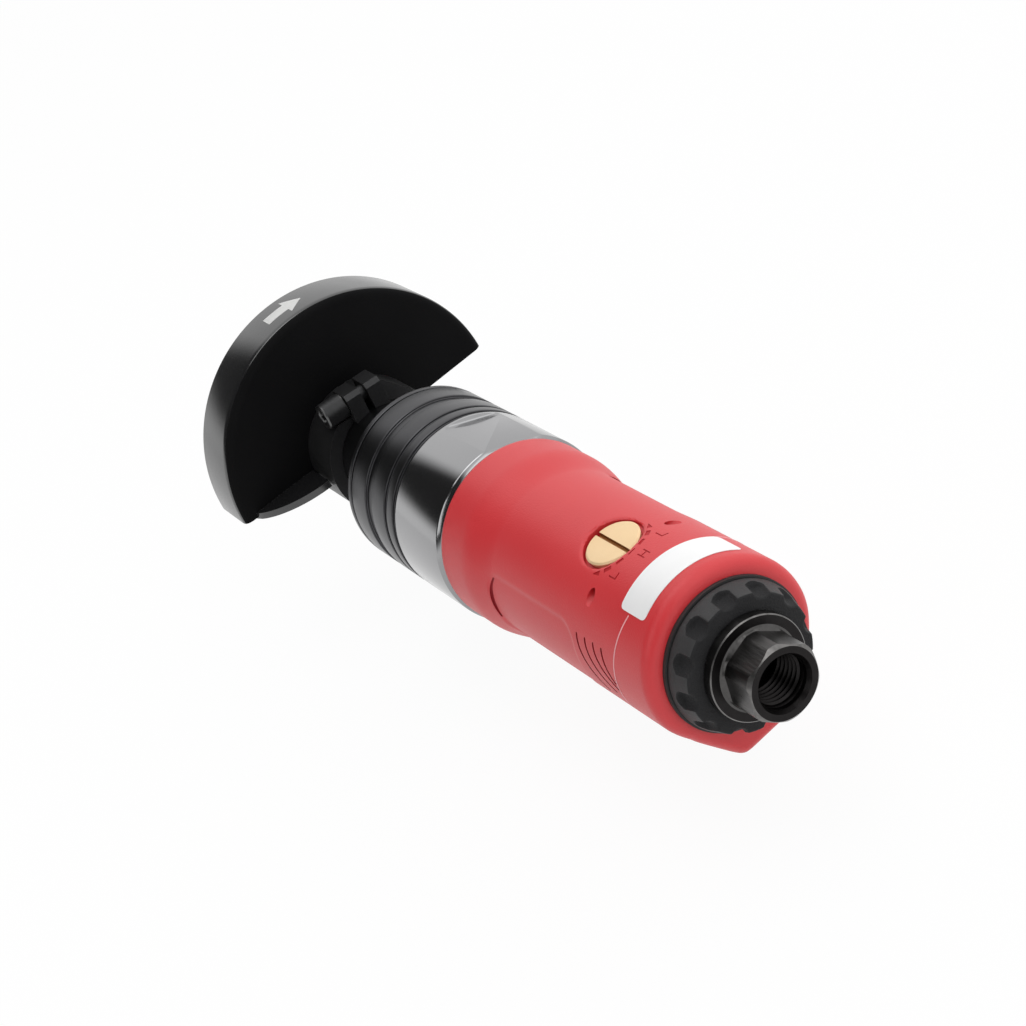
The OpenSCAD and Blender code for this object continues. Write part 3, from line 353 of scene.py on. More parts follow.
motor_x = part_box("wave_washer")[0].x
motor_r = 19.02 * mm
spigot_r = 21.02 * mm
spigot_gap = 0.3 * mm
spigot_end_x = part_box("front_collar")[0].x - spigot_gap
shank_r = 9.02 * mm
chamber_r = 16.2 * mm
chamber_hub_r = 12 * mm
chamber_end_x = handle_x + 12 * mm

panel_x, panel_l = 69.4 * mm, 38.6 * mm
panel_side, panel_h = math.radians(83) * grip_r, 19 * mm
panel_corner = 5 * mm
panel_depth = 0.4 * mm
panel_edge = 1.6 * mm
recess_r = 7.5 * mm
recess_edge = 0.6 * mm
crown_turn = 1.0
far_away = 1.0


def panel_dent(x, turn):
    """Depth of the shallow plate in each side, a long shape with rounded corners and soft edges."""
    across = abs(abs(turn) * grip_r - panel_side) - panel_h / 2 + panel_corner
    along = abs(x - panel_x) - panel_l / 2 + panel_corner
    outside = math.hypot(max(across, 0), max(along, 0)) + min(max(across, along), 0) - panel_corner
    return panel_depth * ease(0.5 - outside / panel_edge)


def recess_dent(x, turn):
    """Soft round edge of the regulator's recess."""
    away = math.hypot(x - valve_x, grip_r * math.sin(turn)) if abs(turn) < crown_turn else far_away
    return edge_drop(max(away - recess_r, 0.0), recess_edge)


handle_around = 288
handle_step = 0.5 * mm
back_steps = 8
lip_edge_steps = 4
plain_l = handle_l - grip_round - lip_round
plain_steps = round(plain_l / handle_step)
stations = [grip_round * (1 - math.cos(math.pi / 2 * k / back_steps)) for k in range(back_steps)]
stations += [grip_round + plain_l * k / plain_steps for k in range(plain_steps + 1)]
stations += [handle_l - lip_round * (1 - math.sin(math.pi / 2 * k / lip_edge_steps))
             for k in range(1, lip_edge_steps + 1)]


def skin_ring(s):
    """Ring of the handle's finished skin."""
    def point(turn):
        turn = (turn + math.pi) % (2 * math.pi) - math.pi
        x = handle_x + s
        return on_handle(x, turn, -panel_dent(x, turn) - recess_dent(x, turn))
    return point


handle_rings = [skin_ring(s) for s in stations]
handle_rings += [round_ring(x, r) for x, r in (
    (handle_high.x, spigot_r), (spigot_end_x, spigot_r), (spigot_end_x, motor_r), (motor_x, motor_r),
    (motor_x, shank_r), (handle_x, shank_r), (handle_x, chamber_hub_r), (chamber_end_x, chamber_hub_r),
    (chamber_end_x, chamber_r), (handle_x, chamber_r))]
handle_bm = bmesh.new()
ring_tube(handle_bm, handle_rings, handle_around, closed=True)
grip_shell = place(handle_bm, "grip_shell", [red_skin, groove_floor_shade, dial_marks_shade])


def drill(bm, start, end, r):
    """Round bar from one point to another."""
    reach = Vector(end) - Vector(start)
    turn = reach.to_track_quat("Z", "Y").to_matrix().to_4x4()
    middle = (Vector(start) + Vector(end)) / 2
    bmesh.ops.create_cone(bm, cap_ends=True, segments=96, radius1=r, radius2=r, depth=reach.length,
                          matrix=Matrix.Translation(middle) @ turn)


pivot = sum(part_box("lever_pin"), Vector()) / 2
boss_w = 8.2 * mm
boss_r = 3 * mm
boss_rise = 4.5 * mm
boss_bm = bmesh.new()
boss_side = bmesh.ops.create_circle(boss_bm, cap_ends=True, segments=48, radius=boss_r)["verts"]
for vert in boss_side:
    rise = vert.co.y if vert.co.y < 0 else vert.co.y + boss_rise
    vert.co = (pivot.x + vert.co.x, -boss_w / 2, pivot.z + rise)
pull(boss_bm, (0, boss_w, 0))
bmesh.ops.recalc_face_normals(boss_bm, faces=boss_bm.faces)
cut(grip_shell, place(boss_bm, "boss_tool", [red_skin]), "UNION")

regulator_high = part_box("regulator")[1]
pin_middle = sum(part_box("regulator_pin"), Vector()) / 2
stem_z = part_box("stem_seal")[0].z
recess_depth = 2.15 * mm
recess_floor = regulator_high.z - recess_depth
above_z = 0.04
below_z = -0.03
bore_lap = 1 * mm
valve_bore_r = 5.05 * mm
stem_bore_r = 1.65 * mm
pin_bore_r = 1.27 * mm
pin_reach = Vector((0, 0.03, 0))
pivot_bore_r = 1.52 * mm
pivot_reach = Vector((0, 0.01, 0))
for bores in (
        (((valve_x, 0, recess_floor), (valve_x, 0, above_z), recess_r),),
        (((valve_x, 0, stem_z), (valve_x, 0, recess_floor + bore_lap), valve_bore_r),),
        (((valve_x, 0, below_z), (valve_x, 0, stem_z + bore_lap), stem_bore_r),),
        ((pin_middle - pin_reach, pin_middle + pin_reach, pin_bore_r),
         (pivot - pivot_reach, pivot + pivot_reach, pivot_bore_r))):
    bore_bm = bmesh.new()
    for start, end, r in bores:
        drill(bore_bm, start, end, r)
    cut(grip_shell, place(bore_bm, "bore_tool", [red_skin]))

# Grip marks: four narrow curved grooves in each side of the handle, drawn together downwards, and
# a crescent groove round the front end of the side plate. All are moulded, and their darker red is painted
# shade.
grooves = 4
groove_top_x = 47.5 * mm
groove_pitch = 3.5 * mm
groove_top_deg = 60.2
groove_low_degs = (95, 91, 86, 81.5)
groove_bends = (0.006, 0.0085, 0.0105, 0.0075)
groove_r = 0.36 * mm
groove_sink = 0.16 * mm
groove_steps = 20
groove_start_share = 0.7
bar_around = 16
crescent_x = 88.7 * mm
crescent_degs = (60, 92)
crescent_lean = 2.6 * mm
crescent_r = 0.55 * mm
crescent_power = 4
crescent_thin = 0.25
crescent_end = 0.1
grip_bm = bmesh.new()
for side in (1, -1):
    for k in range(grooves):
        span = groove_low_degs[k] - groove_top_deg
        path = []
        for step in range(groove_steps + 1):
            drop = span * step / groove_steps
            x = groove_top_x - groove_pitch * k - groove_bends[k] * drop * drop * mm
            path.append((x, side * math.radians(groove_top_deg + drop)))
        radii = [groove_r * groove_start_share] + [groove_r] * groove_steps
        ring_tube(grip_bm, bar_rings(path, radii, groove_sink), bar_around, closed=False)
    path = []
    radii = []
    for step in range(groove_steps + 1):
        u = step / groove_steps
        degrees = crescent_degs[0] + (crescent_degs[1] - crescent_degs[0]) * u
        path.append((crescent_x - crescent_lean * (1 - u) ** crescent_power, side * math.radians(degrees)))
        swell = math.sin(math.pi * (crescent_end + (1 - 2 * crescent_end) * u))
        radii.append(crescent_r * (crescent_thin + (1 - crescent_thin) * swell))
    ring_tube(grip_bm, bar_rings(path, radii, panel_depth / 2), bar_around, closed=False)
grip_tool = place(grip_bm, "grip_tool", [red_skin, groove_floor_shade])
# The grooves' faces take the darker red: painted shade.
paint(grip_tool, 1)
cut(grip_shell, grip_tool)

# Dial marks moulded into the handle behind the regulator: seven short dashes on an arc round its
# recess, the outer ones wedges, with a letter for the low and the high settings.
mark_sink = 0.16 * mm
dial_r = 8.8 * mm
dial_step = math.radians(21.5)
dash_l = 2.0 * mm
dash_widths = (0.36 * mm, 0.75 * mm, 1.0 * mm, 1.3 * mm)
wedge_taper = 0.1
dial_letters = ((16.9, 39.9, "L"), (-2.6, 37.0, "H"), (-21.6, 40.2, "L"))
letter_h = 2.6 * mm
letter_w = 1.7 * mm
letter_stroke = 0.34 * mm


def stroke(bm, x, turn, along, across, slant=0.0, taper=1.0):
    """Small block sunk through the handle's skin, slanted from the axis, its far end tapered."""
    verts = bmesh.ops.create_cube(bm, size=1.0)["verts"]
    for vert in verts:
        if vert.co.x > 0:
            vert.co.y *= taper
    lie = Matrix.Translation(on_handle(x, turn)) @ Matrix.Rotation(-turn, 4, "X")
    size = Matrix.Diagonal((along, across, 2 * mark_sink, 1))
    bmesh.ops.transform(bm, verts=verts, matrix=lie @ Matrix.Rotation(slant, 4, "Z") @ size)


marks_bm = bmesh.new()
for k in range(-3, 4):
    angle = dial_step * k
    turn = math.asin(dial_r * math.sin(angle) / grip_r)
    outward = math.pi / 2 - angle + (math.pi if k < 0 else 0)
    stroke(marks_bm, valve_x - dial_r * math.cos(angle), turn, dash_l, dash_widths[abs(k)], outward,
           wedge_taper if abs(k) == 3 else 1.0)
for degrees, x, letter in dial_letters:
    turn = math.radians(degrees)
    side = letter_w / 2 / grip_r
    stroke(marks_bm, x * mm, turn + side, letter_h, letter_stroke)
    if letter == "H":
        stroke(marks_bm, x * mm, turn - side, letter_h, letter_stroke)
        stroke(marks_bm, x * mm, turn, letter_stroke, letter_w - letter_stroke / 2)
    else:
        stroke(marks_bm, x * mm - (letter_h - letter_stroke) / 2, turn, letter_stroke, letter_w)
marks_tool = place(marks_bm, "marks_tool", [red_skin, groove_floor_shade, dial_marks_shade])
# The marks' faces take a darker red: painted shade in the sunk marks.
paint(marks_tool, 2)
cut(grip_shell, marks_tool, crossed=True)
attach(grip_shell, "handle")
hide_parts("handle_housing")

# Parting line: a fine witness of the mould, standing just proud of the red skin on both
# flanks, from the label's ends down to the belly. Its pale colour is a painted highlight along the ridge.
line_r = 0.26 * mm
line_sink = 0.17 * mm
line_steps = 24
line_around = 10
line_runs = ((28.7, 33.4, 33, 100), (32.7, 34.6, -46, -100))
# Pale pink for the ridge: a painted highlight.
ridge_highlight = surface("ridge_highlight", (0.80, 0.42, 0.44), (0.72, 0.34, 0.36), (0.4, 0.5), cloud=200)
line_bm = bmesh.new()
for back_x, front_x, top_deg, low_deg in line_runs:
    path = []
    for step in range(line_steps + 1):
        u = step / line_steps
        x = back_x + (front_x - back_x) * math.sin(math.pi / 2 * u)
        path.append((x * mm, math.radians(top_deg + (low_deg - top_deg) * u)))
    ring_tube(line_bm, bar_rings(path, [line_r] * len(path), line_sink), line_around, closed=False)
parting_line = place(line_bm, "parting_line", [ridge_highlight])
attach(parting_line, "handle")

# Label: a blank white film stuck round the back of the handle. It is die cut with rounded corners and
# its gloss is a little uneven.
label_back_x, label_front_x = 22.8 * mm, 32.3 * mm
label_left, label_right = math.radians(31.6), math.radians(-46.5)
label_t = 0.12 * mm
label_proud = 0.03 * mm
label_corner = 1.2 * mm
label_film = surface("label_film", (0.86, 0.86, 0.86), (0.80, 0.80, 0.80), (0.28, 0.36), cloud=120, grain=900,
                     grain_depth=0.01)
label_bm = bmesh.new()
bmesh.ops.create_grid(label_bm, x_segments=12, y_segments=48, size=0.5)
label_w = label_front_x - label_back_x
label_h = (label_left - label_right) * grip_r
for vert in label_bm.verts:
    u = vert.co.x * label_w
    v = vert.co.y * label_h
    past = Vector((max(abs(u) - label_w / 2 + label_corner, 0), max(abs(v) - label_h / 2 + label_corner, 0)))
    if past.length > label_corner:
        scale = label_corner / past.length
        u -= math.copysign(past.x * (1 - scale), u)
        v -= math.copysign(past.y * (1 - scale), v)
    turn = (label_left + label_right) / 2 + v / grip_r
    vert.co = on_handle((label_back_x + label_front_x) / 2 + u, turn, label_proud)
bmesh.ops.recalc_face_normals(label_bm, faces=label_bm.faces)
bmesh.ops.solidify(label_bm, geom=list(label_bm.faces), thickness=-label_t)
bmesh.ops.recalc_face_normals(label_bm, faces=label_bm.faces)
blank_label = place(label_bm, "blank_label", [label_film])
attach(blank_label, "handle")

# Regulator: turned brass dial with a screwdriver slot, sunk in its recess on top of the handle and
# held by a cross pin. Its edges are broken, and its face is worn pale.
dial_brass = surface("dial_brass", (0.86, 0.64, 0.38), (0.78, 0.55, 0.30), (0.42, 0.55), metal=0.3, cloud=160,
                     grain=2600, grain_depth=0.03)
# Darker, browner brass for the slot's walls and floor: painted shade in the slot.
slot_shade_brass = surface("slot_shade_brass", (0.42, 0.17, 0.035), (0.32, 0.12, 0.02), (0.4, 0.5), metal=0.4, cloud=160)
dial_worn = surface("dial_worn", (0.92, 0.76, 0.52), (0.84, 0.66, 0.42), (0.3, 0.4), metal=0.6, cloud=200)
dial_sink = 0.45 * mm
head_h = 1.5 * mm
dial_root = regulator_high.z - head_h
dial_edge = 0.15 * mm
slot_skin = 0.05 * mm
slot_reach = 1.4 * mm
slot_low = 3.2 * mm
slot_share = 0.55
head_share = 1.04


def merged_copy(node):
    """Copy of a node's mesh with its loose triangles merged and its flat faces joined up."""
    bm = bmesh.new()
    bm.from_mesh(frame["nodes"][node].data)
    bmesh.ops.remove_doubles(bm, verts=bm.verts, dist=1e-6)
    bmesh.ops.dissolve_limit(bm, angle_limit=math.radians(1), verts=bm.verts, edges=bm.edges)
    return bm


def ease_edges(piece, width, segments=2, angle_deg=32):
    """Rounds a piece's sharp edges; its last material is the finish of the rounded edges."""
    bevel = piece.modifiers.new("eased_edges", "BEVEL")
    bevel.width = width
    bevel.segments = segments
    bevel.limit_method = "ANGLE"
    bevel.angle_limit = math.radians(angle_deg)
    bevel.material = len(piece.data.materials) - 1


def stand_for(piece, node, body):
    """The piece rides on a body and takes a node's place."""
    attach(piece, body)
    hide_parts(node)


dial_bm = merged_copy("regulator")
for vert in dial_bm.verts:
    if vert.co.z > dial_root:
        vert.co.z -= dial_sink
        vert.co.x = valve_x + (vert.co.x - valve_x) * head_share
        vert.co.y *= head_share
    if vert.co.z > regulator_high.z - slot_low and abs(vert.co.y) < slot_reach:
        vert.co.y *= slot_share
# Faces sunk in the slot take the darker brass: painted shade.
for face in dial_bm.faces:
    middle = face.calc_center_median()
    sunk = -slot_low < middle.z - regulator_high.z < -dial_sink - slot_skin
    face.material_index = 1 if sunk and abs(middle.y) < slot_reach * slot_share else 0
# The cross pin is made shorter and dark: painted shade, so its holes read as dark recesses.
pin_share = 0.7
pin_shade_steel = surface("pin_shade_steel", (0.05, 0.04, 0.04), (0.03, 0.02, 0.02), (0.4, 0.5), metal=1.0)
pin_bm = merged_copy("regulator_pin")
bmesh.ops.scale(pin_bm, verts=pin_bm.verts, vec=(1, pin_share, 1))
dial_pin = place(pin_bm, "dial_pin", [pin_shade_steel])
stand_for(dial_pin, "regulator_pin", "handle")
regulator_dial = place(dial_bm, "regulator_dial", [dial_brass, slot_shade_brass, dial_worn])
ease_edges(regulator_dial, dial_edge)
stand_for(regulator_dial, "regulator", "regulator")

# Collar: the motor's steel case, turned and blackened. Its wide band is polished, with two wrench
# flats; its front half has turned rings and grooves, and a plain nose runs on to the guard.
collar_low, collar_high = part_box("front_collar")
collar_x = handle_high.x
collar_r = 23.8 * mm
collar_l = 51.8 * mm
collar_chamfer = 1 * mm
collar_face_share = 0.97
nose_x = collar_x + collar_l
nose_r = 14 * mm
nose_bore_r = 12.02 * mm
spindle_bore_r = 8 * mm
flat_depth = 1.3 * mm
flat_l = 22.5 * mm
flat_turn = math.radians(-26)
ring_groove = 0.7 * mm
ring_edge = 0.35 * mm
groove_shares = ((0.455, 0.487), (0.549, 0.576), (0.715, 0.787), (0.941, 0.953))
collar_steel = surface("collar_steel", (0.33, 0.33, 0.335), (0.28, 0.28, 0.285), (0.11, 0.17), metal=1.0,
                       cloud=30, grain=2200, grain_depth=0.004, stretch=(1, 0.05, 0.05))
ring_steel = surface("ring_steel", (0.085, 0.085, 0.088), (0.06, 0.06, 0.064), (0.26, 0.36), metal=1.0,
                     cloud=50, grain=2400, grain_depth=0.01, stretch=(1, 0.05, 0.05))


def turned(bm, outline, steps=160, angle=2 * math.pi, start=0.0):
    """Revolves an outline of places along the axis and radii, all round or from a turn to the right."""
    verts = [bm.verts.new((x, r * math.sin(start), r * math.cos(start))) for x, r in outline]
    edges = [bm.edges.new(pair) for pair in zip(verts, verts[1:] + verts[:1])]
    whole = angle >= 2 * math.pi
    bmesh.ops.spin(bm, geom=verts + edges, cent=(0, 0, 0), axis=(1, 0, 0), angle=angle, steps=steps,
                   use_merge=whole)
    bmesh.ops.remove_doubles(bm, verts=bm.verts, dist=1e-6)
    if not whole:
        bmesh.ops.holes_fill(bm, edges=bm.edges)
    bmesh.ops.recalc_face_normals(bm, faces=bm.faces)


def rounded(points, r, steps=4, side_share=0.45):
    """Outline with its corners rounded by about r or their own third value, within a share of a side."""
    outline = []
    for before, corner, after in zip(points[-1:] + points[:-1], points, points[1:] + points[:1]):
        here = Vector(corner[:2])
        back, ahead = Vector(before[:2]) - here, Vector(after[:2]) - here
        own = corner[2] if len(corner) == 3 else r
        start = here + back.normalized() * min(own, back.length * side_share)
        end = here + ahead.normalized() * min(own, ahead.length * side_share)
        for k in range(steps + 1):
            t = k / steps
            outline.append(tuple(start * (1 - t) ** 2 + here * (2 * t * (1 - t)) + end * t * t))
    return outline


spigot_fit = 0.02 * mm
spigot_outer_r = spigot_r - spigot_fit
collar_outline = [(collar_x, spigot_outer_r), (collar_x, collar_r - collar_chamfer),
                  (collar_x + collar_chamfer, collar_r)]
for start, end in groove_shares:
    groove_x, groove_end_x = collar_x + start * collar_l, collar_x + end * collar_l
    collar_outline += [(groove_x, collar_r), (groove_x, collar_r - ring_groove),
                       (groove_end_x, collar_r - ring_groove), (groove_end_x, collar_r)]
nose_pocket_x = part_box("nose_bearing_outer")[0].x
shoulder_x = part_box("front_end_plate")[1].x
collar_outline += [
    (nose_x - (1 - collar_face_share) * collar_r, collar_r), (nose_x, collar_face_share * collar_r),
    (nose_x, nose_r), (collar_high.x, nose_r), (collar_high.x, nose_bore_r), (nose_pocket_x, nose_bore_r),
    (nose_pocket_x, spindle_bore_r), (shoulder_x, spindle_bore_r), (shoulder_x, motor_r),
    (collar_low.x, motor_r), (collar_low.x, spigot_outer_r)]
collar_bm = bmesh.new()
turned(collar_bm, rounded(collar_outline, ring_edge), steps=192)
band_end_x = collar_x + groove_shares[0][0] * collar_l
for face in collar_bm.faces:
    face.material_index = 0 if face.calc_center_median().x < band_end_x else 1
motor_collar = place(collar_bm, "motor_collar", [collar_steel, ring_steel])
flat_spare = 2 * mm
flat_tool_h = 10 * mm
flat_run_out = 1.6 * mm
for turn in (flat_turn, flat_turn + math.pi):
    flat_bm = bmesh.new()
    flat_middle = (collar_x + (flat_l - flat_spare) / 2, 0, collar_r - flat_depth + flat_tool_h / 2)
    bmesh.ops.create_cube(flat_bm, size=1.0)
    run_out = [edge for edge in flat_bm.edges if all(vert.co.x > 0 > vert.co.z for vert in edge.verts)]
    bmesh.ops.transform(flat_bm, verts=flat_bm.verts, matrix=Matrix.Translation(flat_middle)
                        @ Matrix.Diagonal((flat_l + flat_spare, 3 * collar_r, flat_tool_h, 1)))
    bmesh.ops.bevel(flat_bm, geom=run_out, offset=flat_run_out, segments=8, profile=0.5, affect="EDGES",
                    material=-1)
    bmesh.ops.transform(flat_bm, verts=flat_bm.verts, matrix=Matrix.Rotation(-turn, 4, "X"))
    cut(motor_collar, place(flat_bm, "flat_tool", [collar_steel]))
stand_for(motor_collar, "front_collar", "handle")

# Inlet: blackened steel bushing with a chamfered hexagon and a bevelled flange, screwed into the
# handle. Its chamfer and flange rim are a lighter steel, wear from spanners and hose ends and painted
# glints; its end faces and its bore, which has a pipe thread, are a darker steel, painted shade.
inlet_low, inlet_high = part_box("inlet_bushing")
hex_l = 9.5 * mm
hex_flats = 17 * mm
hex_corner_r = 9.15 * mm
hex_face_r = 8.3 * mm
hex_turn = math.radians(-14)
hex_fillet = 0.7 * mm
inlet_flange_r = 12.1 * mm
inlet_flange_t = 2.5 * mm
inlet_bevel = 0.25 * mm
inlet_shank_r = 9 * mm
air_r = 4.6 * mm
thread_crest = 5.6 * mm
thread_root = 6.15 * mm
thread_mouth = 6.75 * mm
mouth_end_x = 0 * mm
thread_x = 0.3 * mm
thread_end_x = 13 * mm
thread_pitch = 1.41 * mm
thread_turns = 7
thread_steps = 40
ridge_sink = 0.05 * mm
chamfer_least = 0.02 * mm
inlet_around = 144
inlet_sharp_deg = 12
face_lean = -0.95
bevel_lean = -0.3
face_skin = 0.1 * mm
bushing_steel = surface("bushing_steel", (0.12, 0.117, 0.115), (0.05, 0.048, 0.047), (0.24, 0.38), metal=1.0,
                        cloud=420, grain=1500, grain_depth=0.05, stretch=(0.15, 1, 1))
wear_glint_steel = surface("wear_glint_steel", (0.27, 0.26, 0.255), (0.06, 0.06, 0.058), (0.25, 0.4), metal=1.0,
                     cloud=600)
end_shade_steel = surface("end_shade_steel", (0.026, 0.024, 0.024), (0.014, 0.013, 0.013), (0.26, 0.4), metal=0.9,
                    cloud=420, shine=0.2)
hex_x = inlet_low.x
inlet_flange_x = hex_x + hex_l
inlet_flange_end_x = inlet_flange_x + inlet_flange_t


def hex_r(turn):
    """Distance of the hexagon's side from the axis, with a turned-down corner at no turn."""
    return min(hex_flats / 2 / math.cos(turn % (math.pi / 3) - math.pi / 6), hex_corner_r)


def hex_ring(x, face_r=None):
    """Ring of the hexagon: plain, or where a face of that radius is turned on its end."""
    def point(turn):
        r = hex_r(turn) if face_r is None else min(hex_r(turn), face_r)
        a = turn + hex_turn
        return Vector((x, r * math.sin(a), r * math.cos(a)))
    return point


def chamfer_ring(turn):
    """Where the turned chamfer meets the hexagon's sides."""
    return hex_ring(hex_x + max(hex_r(turn) - hex_face_r, chamfer_least))(turn)


def turned_hex(x, r):
    """Round ring that starts at the hexagon's corner."""
    return lambda turn: round_ring(x, r)(turn + hex_turn)


inlet_bm = bmesh.new()
inlet_rings = [hex_ring(hex_x, hex_face_r), chamfer_ring, hex_ring(inlet_flange_x - hex_fillet)]
inlet_rings += [turned_hex(x, r) for x, r in (
    (inlet_flange_x - hex_fillet / 4, hex_corner_r + hex_fillet / 3),
    (inlet_flange_x, hex_corner_r + hex_fillet),
    (inlet_flange_x, inlet_flange_r - inlet_bevel), (inlet_flange_x + inlet_bevel, inlet_flange_r),
    (inlet_flange_end_x, inlet_flange_r), (inlet_flange_end_x, inlet_shank_r), (inlet_high.x, inlet_shank_r),
    (inlet_high.x, air_r), (thread_end_x, air_r), (thread_end_x, thread_root), (mouth_end_x, thread_root),
    (hex_x, thread_mouth))]
ring_tube(inlet_bm, inlet_rings, inlet_around, closed=True)
# End faces and the bore take the darker steel, painted shade; the chamfer and the flange's rim take the
# lighter steel, wear and painted glints.
for face in inlet_bm.faces:
    middle = face.calc_center_median()
    r = math.hypot(middle.y, middle.z)
    on_edge = middle.x < hex_x + hex_l / 2 or r > inlet_flange_r - inlet_bevel
    if face.normal.x < face_lean or r < hex_face_r - face_skin:
        face.material_index = 2
    elif face.normal.x < bevel_lean and on_edge:
        face.material_index = 1
inlet_fitting = place(inlet_bm, "inlet_fitting", [bushing_steel, wear_glint_steel, end_shade_steel], inlet_sharp_deg)
stand_for(inlet_fitting, "inlet_bushing", "handle")

thread_bm = bmesh.new()
ridge = [thread_bm.verts.new((thread_x + x * thread_pitch, 0, r)) for x, r in (
    (0.15, thread_root + ridge_sink), (0.42, thread_crest), (0.58, thread_crest),
    (0.85, thread_root + ridge_sink))]
ridge_edges = [thread_bm.edges.new((a, b)) for a, b in zip(ridge, ridge[1:] + ridge[:1])]
thread_travel = Vector((thread_pitch / thread_steps, 0, 0))
bmesh.ops.spin(thread_bm, geom=ridge + ridge_edges, cent=(0, 0, 0), axis=(1, 0, 0), dvec=thread_travel,
               angle=2 * math.pi * thread_turns, steps=thread_steps * thread_turns)
bmesh.ops.remove_doubles(thread_bm, verts=thread_bm.verts, dist=1e-7)
for vert in thread_bm.verts:
    r = math.hypot(vert.co.y, vert.co.z)
    grown_r = thread_root + (r - thread_root) * ease((vert.co.x - thread_x) / (2 * thread_pitch))
    vert.co.y *= grown_r / r
    vert.co.z *= grown_r / r
bmesh.ops.holes_fill(thread_bm, edges=thread_bm.edges)
bmesh.ops.recalc_face_normals(thread_bm, faces=thread_bm.faces)
# The thread takes the darker steel: painted shade in the bore.
inlet_thread = place(thread_bm, "inlet_thread", [end_shade_steel])
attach(inlet_thread, "handle")

# Exhaust deflector: a grained black nylon moulding that turns on the bushing, with shallow finger
# scallops round its cone, a plain rim and an outlet at the bottom.
deflector_low, deflector_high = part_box("exhaust_deflector")
deflector_x = deflector_low.x
deflector_l = deflector_high.x - deflector_x
deflector_back_r = 15.8 * mm
deflector_r = 17.2 * mm
deflector_hub_r = 9.3 * mm
deflector_cavity_r = 13.6 * mm
deflector_floor_x = deflector_x + 2.4 * mm
deflector_edge = 0.5 * mm
rim_share = 0.88
scallops = 12
scallop_r = 2.7 * mm
scallop_bite = 1.3 * mm
scallop_bow = 0.2 / mm
scallop_turn = math.radians(-11)
scallop_l = 4.2 * mm
scallop_wall = 0.4 * mm
scallop_steps = 24
edge_steps = 4
deflector_around = 432
outlet_deg = 96
outlet_lap = 0.5 * mm
outlet_spare = 3 * mm
lobe_skin = 0.09 * mm
lobe_lean = -0.5
grained_plastic = surface("grained_plastic", (0.030, 0.030, 0.031), (0.018, 0.018, 0.019), (0.5, 0.66),
                          cloud=90, grain=3200, grain_depth=0.3, shine=0.1)
lobe_light_plastic = surface("lobe_light_plastic", (0.043, 0.043, 0.044), (0.027, 0.027, 0.028), (0.45, 0.6),
                         cloud=300, grain=3200, grain_depth=0.15, shine=0.3)


def deflector_cone(s):
    """Radius of the deflector's plain cone at a distance from its back."""
    return deflector_back_r + (deflector_r - deflector_back_r) * min(s / (rim_share * deflector_l), 1)


def deflector_ring(s):
    """Ring of the deflector's cone at a distance from its back, with the scallops cut in."""
    cone = deflector_cone(s) - edge_drop(s, deflector_edge) - edge_drop(deflector_l - s, deflector_edge / 2)
    pitch = 2 * math.pi / scallops

    def point(turn):
        off = ((turn - scallop_turn + pitch / 2) % pitch - pitch / 2) * deflector_back_r
        bite = scallop_bite - scallop_r + math.sqrt(max(scallop_r ** 2 - off * off, 0))
        r = cone - max(bite, 0) * ease((scallop_l - scallop_bow * off * off - s) / scallop_wall)
        return Vector((deflector_x + s, r * math.sin(turn), r * math.cos(turn)))
    return point


deflector_stations = [deflector_edge * (1 - math.cos(math.pi / 2 * k / edge_steps))
                      for k in range(edge_steps + 1)]
deflector_stations += [deflector_edge + (scallop_l - deflector_edge) * k / scallop_steps
                       for k in range(1, scallop_steps + 1)]
deflector_stations += [rim_share * deflector_l, deflector_l - deflector_edge / 2,
                       deflector_l - deflector_edge / 8, deflector_l]
deflector_bm = bmesh.new()
deflector_rings = [deflector_ring(s) for s in deflector_stations]
deflector_rings += [round_ring(x, r) for x, r in (
    (deflector_high.x, deflector_cavity_r), (deflector_floor_x, deflector_cavity_r),
    (deflector_floor_x, deflector_hub_r), (deflector_x, deflector_hub_r))]
ring_tube(deflector_bm, deflector_rings, deflector_around, closed=True)
# The lobes take a lighter copy of the plastic than the scallops and the face: painted light.
for face in deflector_bm.faces:
    middle = face.calc_center_median()
    lobe_r = deflector_cone(middle.x - deflector_x) - lobe_skin
    on_lobe = math.hypot(middle.y, middle.z) > lobe_r and face.normal.x > lobe_lean
    face.material_index = 1 if on_lobe else 0
deflector_cap = place(deflector_bm, "deflector_cap", [grained_plastic, lobe_light_plastic])
outlet_bm = bmesh.new()
outlet_x = deflector_floor_x - outlet_lap
outlet_r = deflector_cavity_r - outlet_lap
turned(outlet_bm, [(outlet_x, outlet_r), (outlet_x, deflector_r + outlet_spare),
                   (deflector_high.x + outlet_spare, deflector_r + outlet_spare),
                   (deflector_high.x + outlet_spare, outlet_r)], 48, math.radians(outlet_deg),
       math.radians(180 + outlet_deg / 2))
cut(deflector_cap, place(outlet_bm, "outlet_tool", [grained_plastic]))
stand_for(deflector_cap, "exhaust_deflector", "deflector")

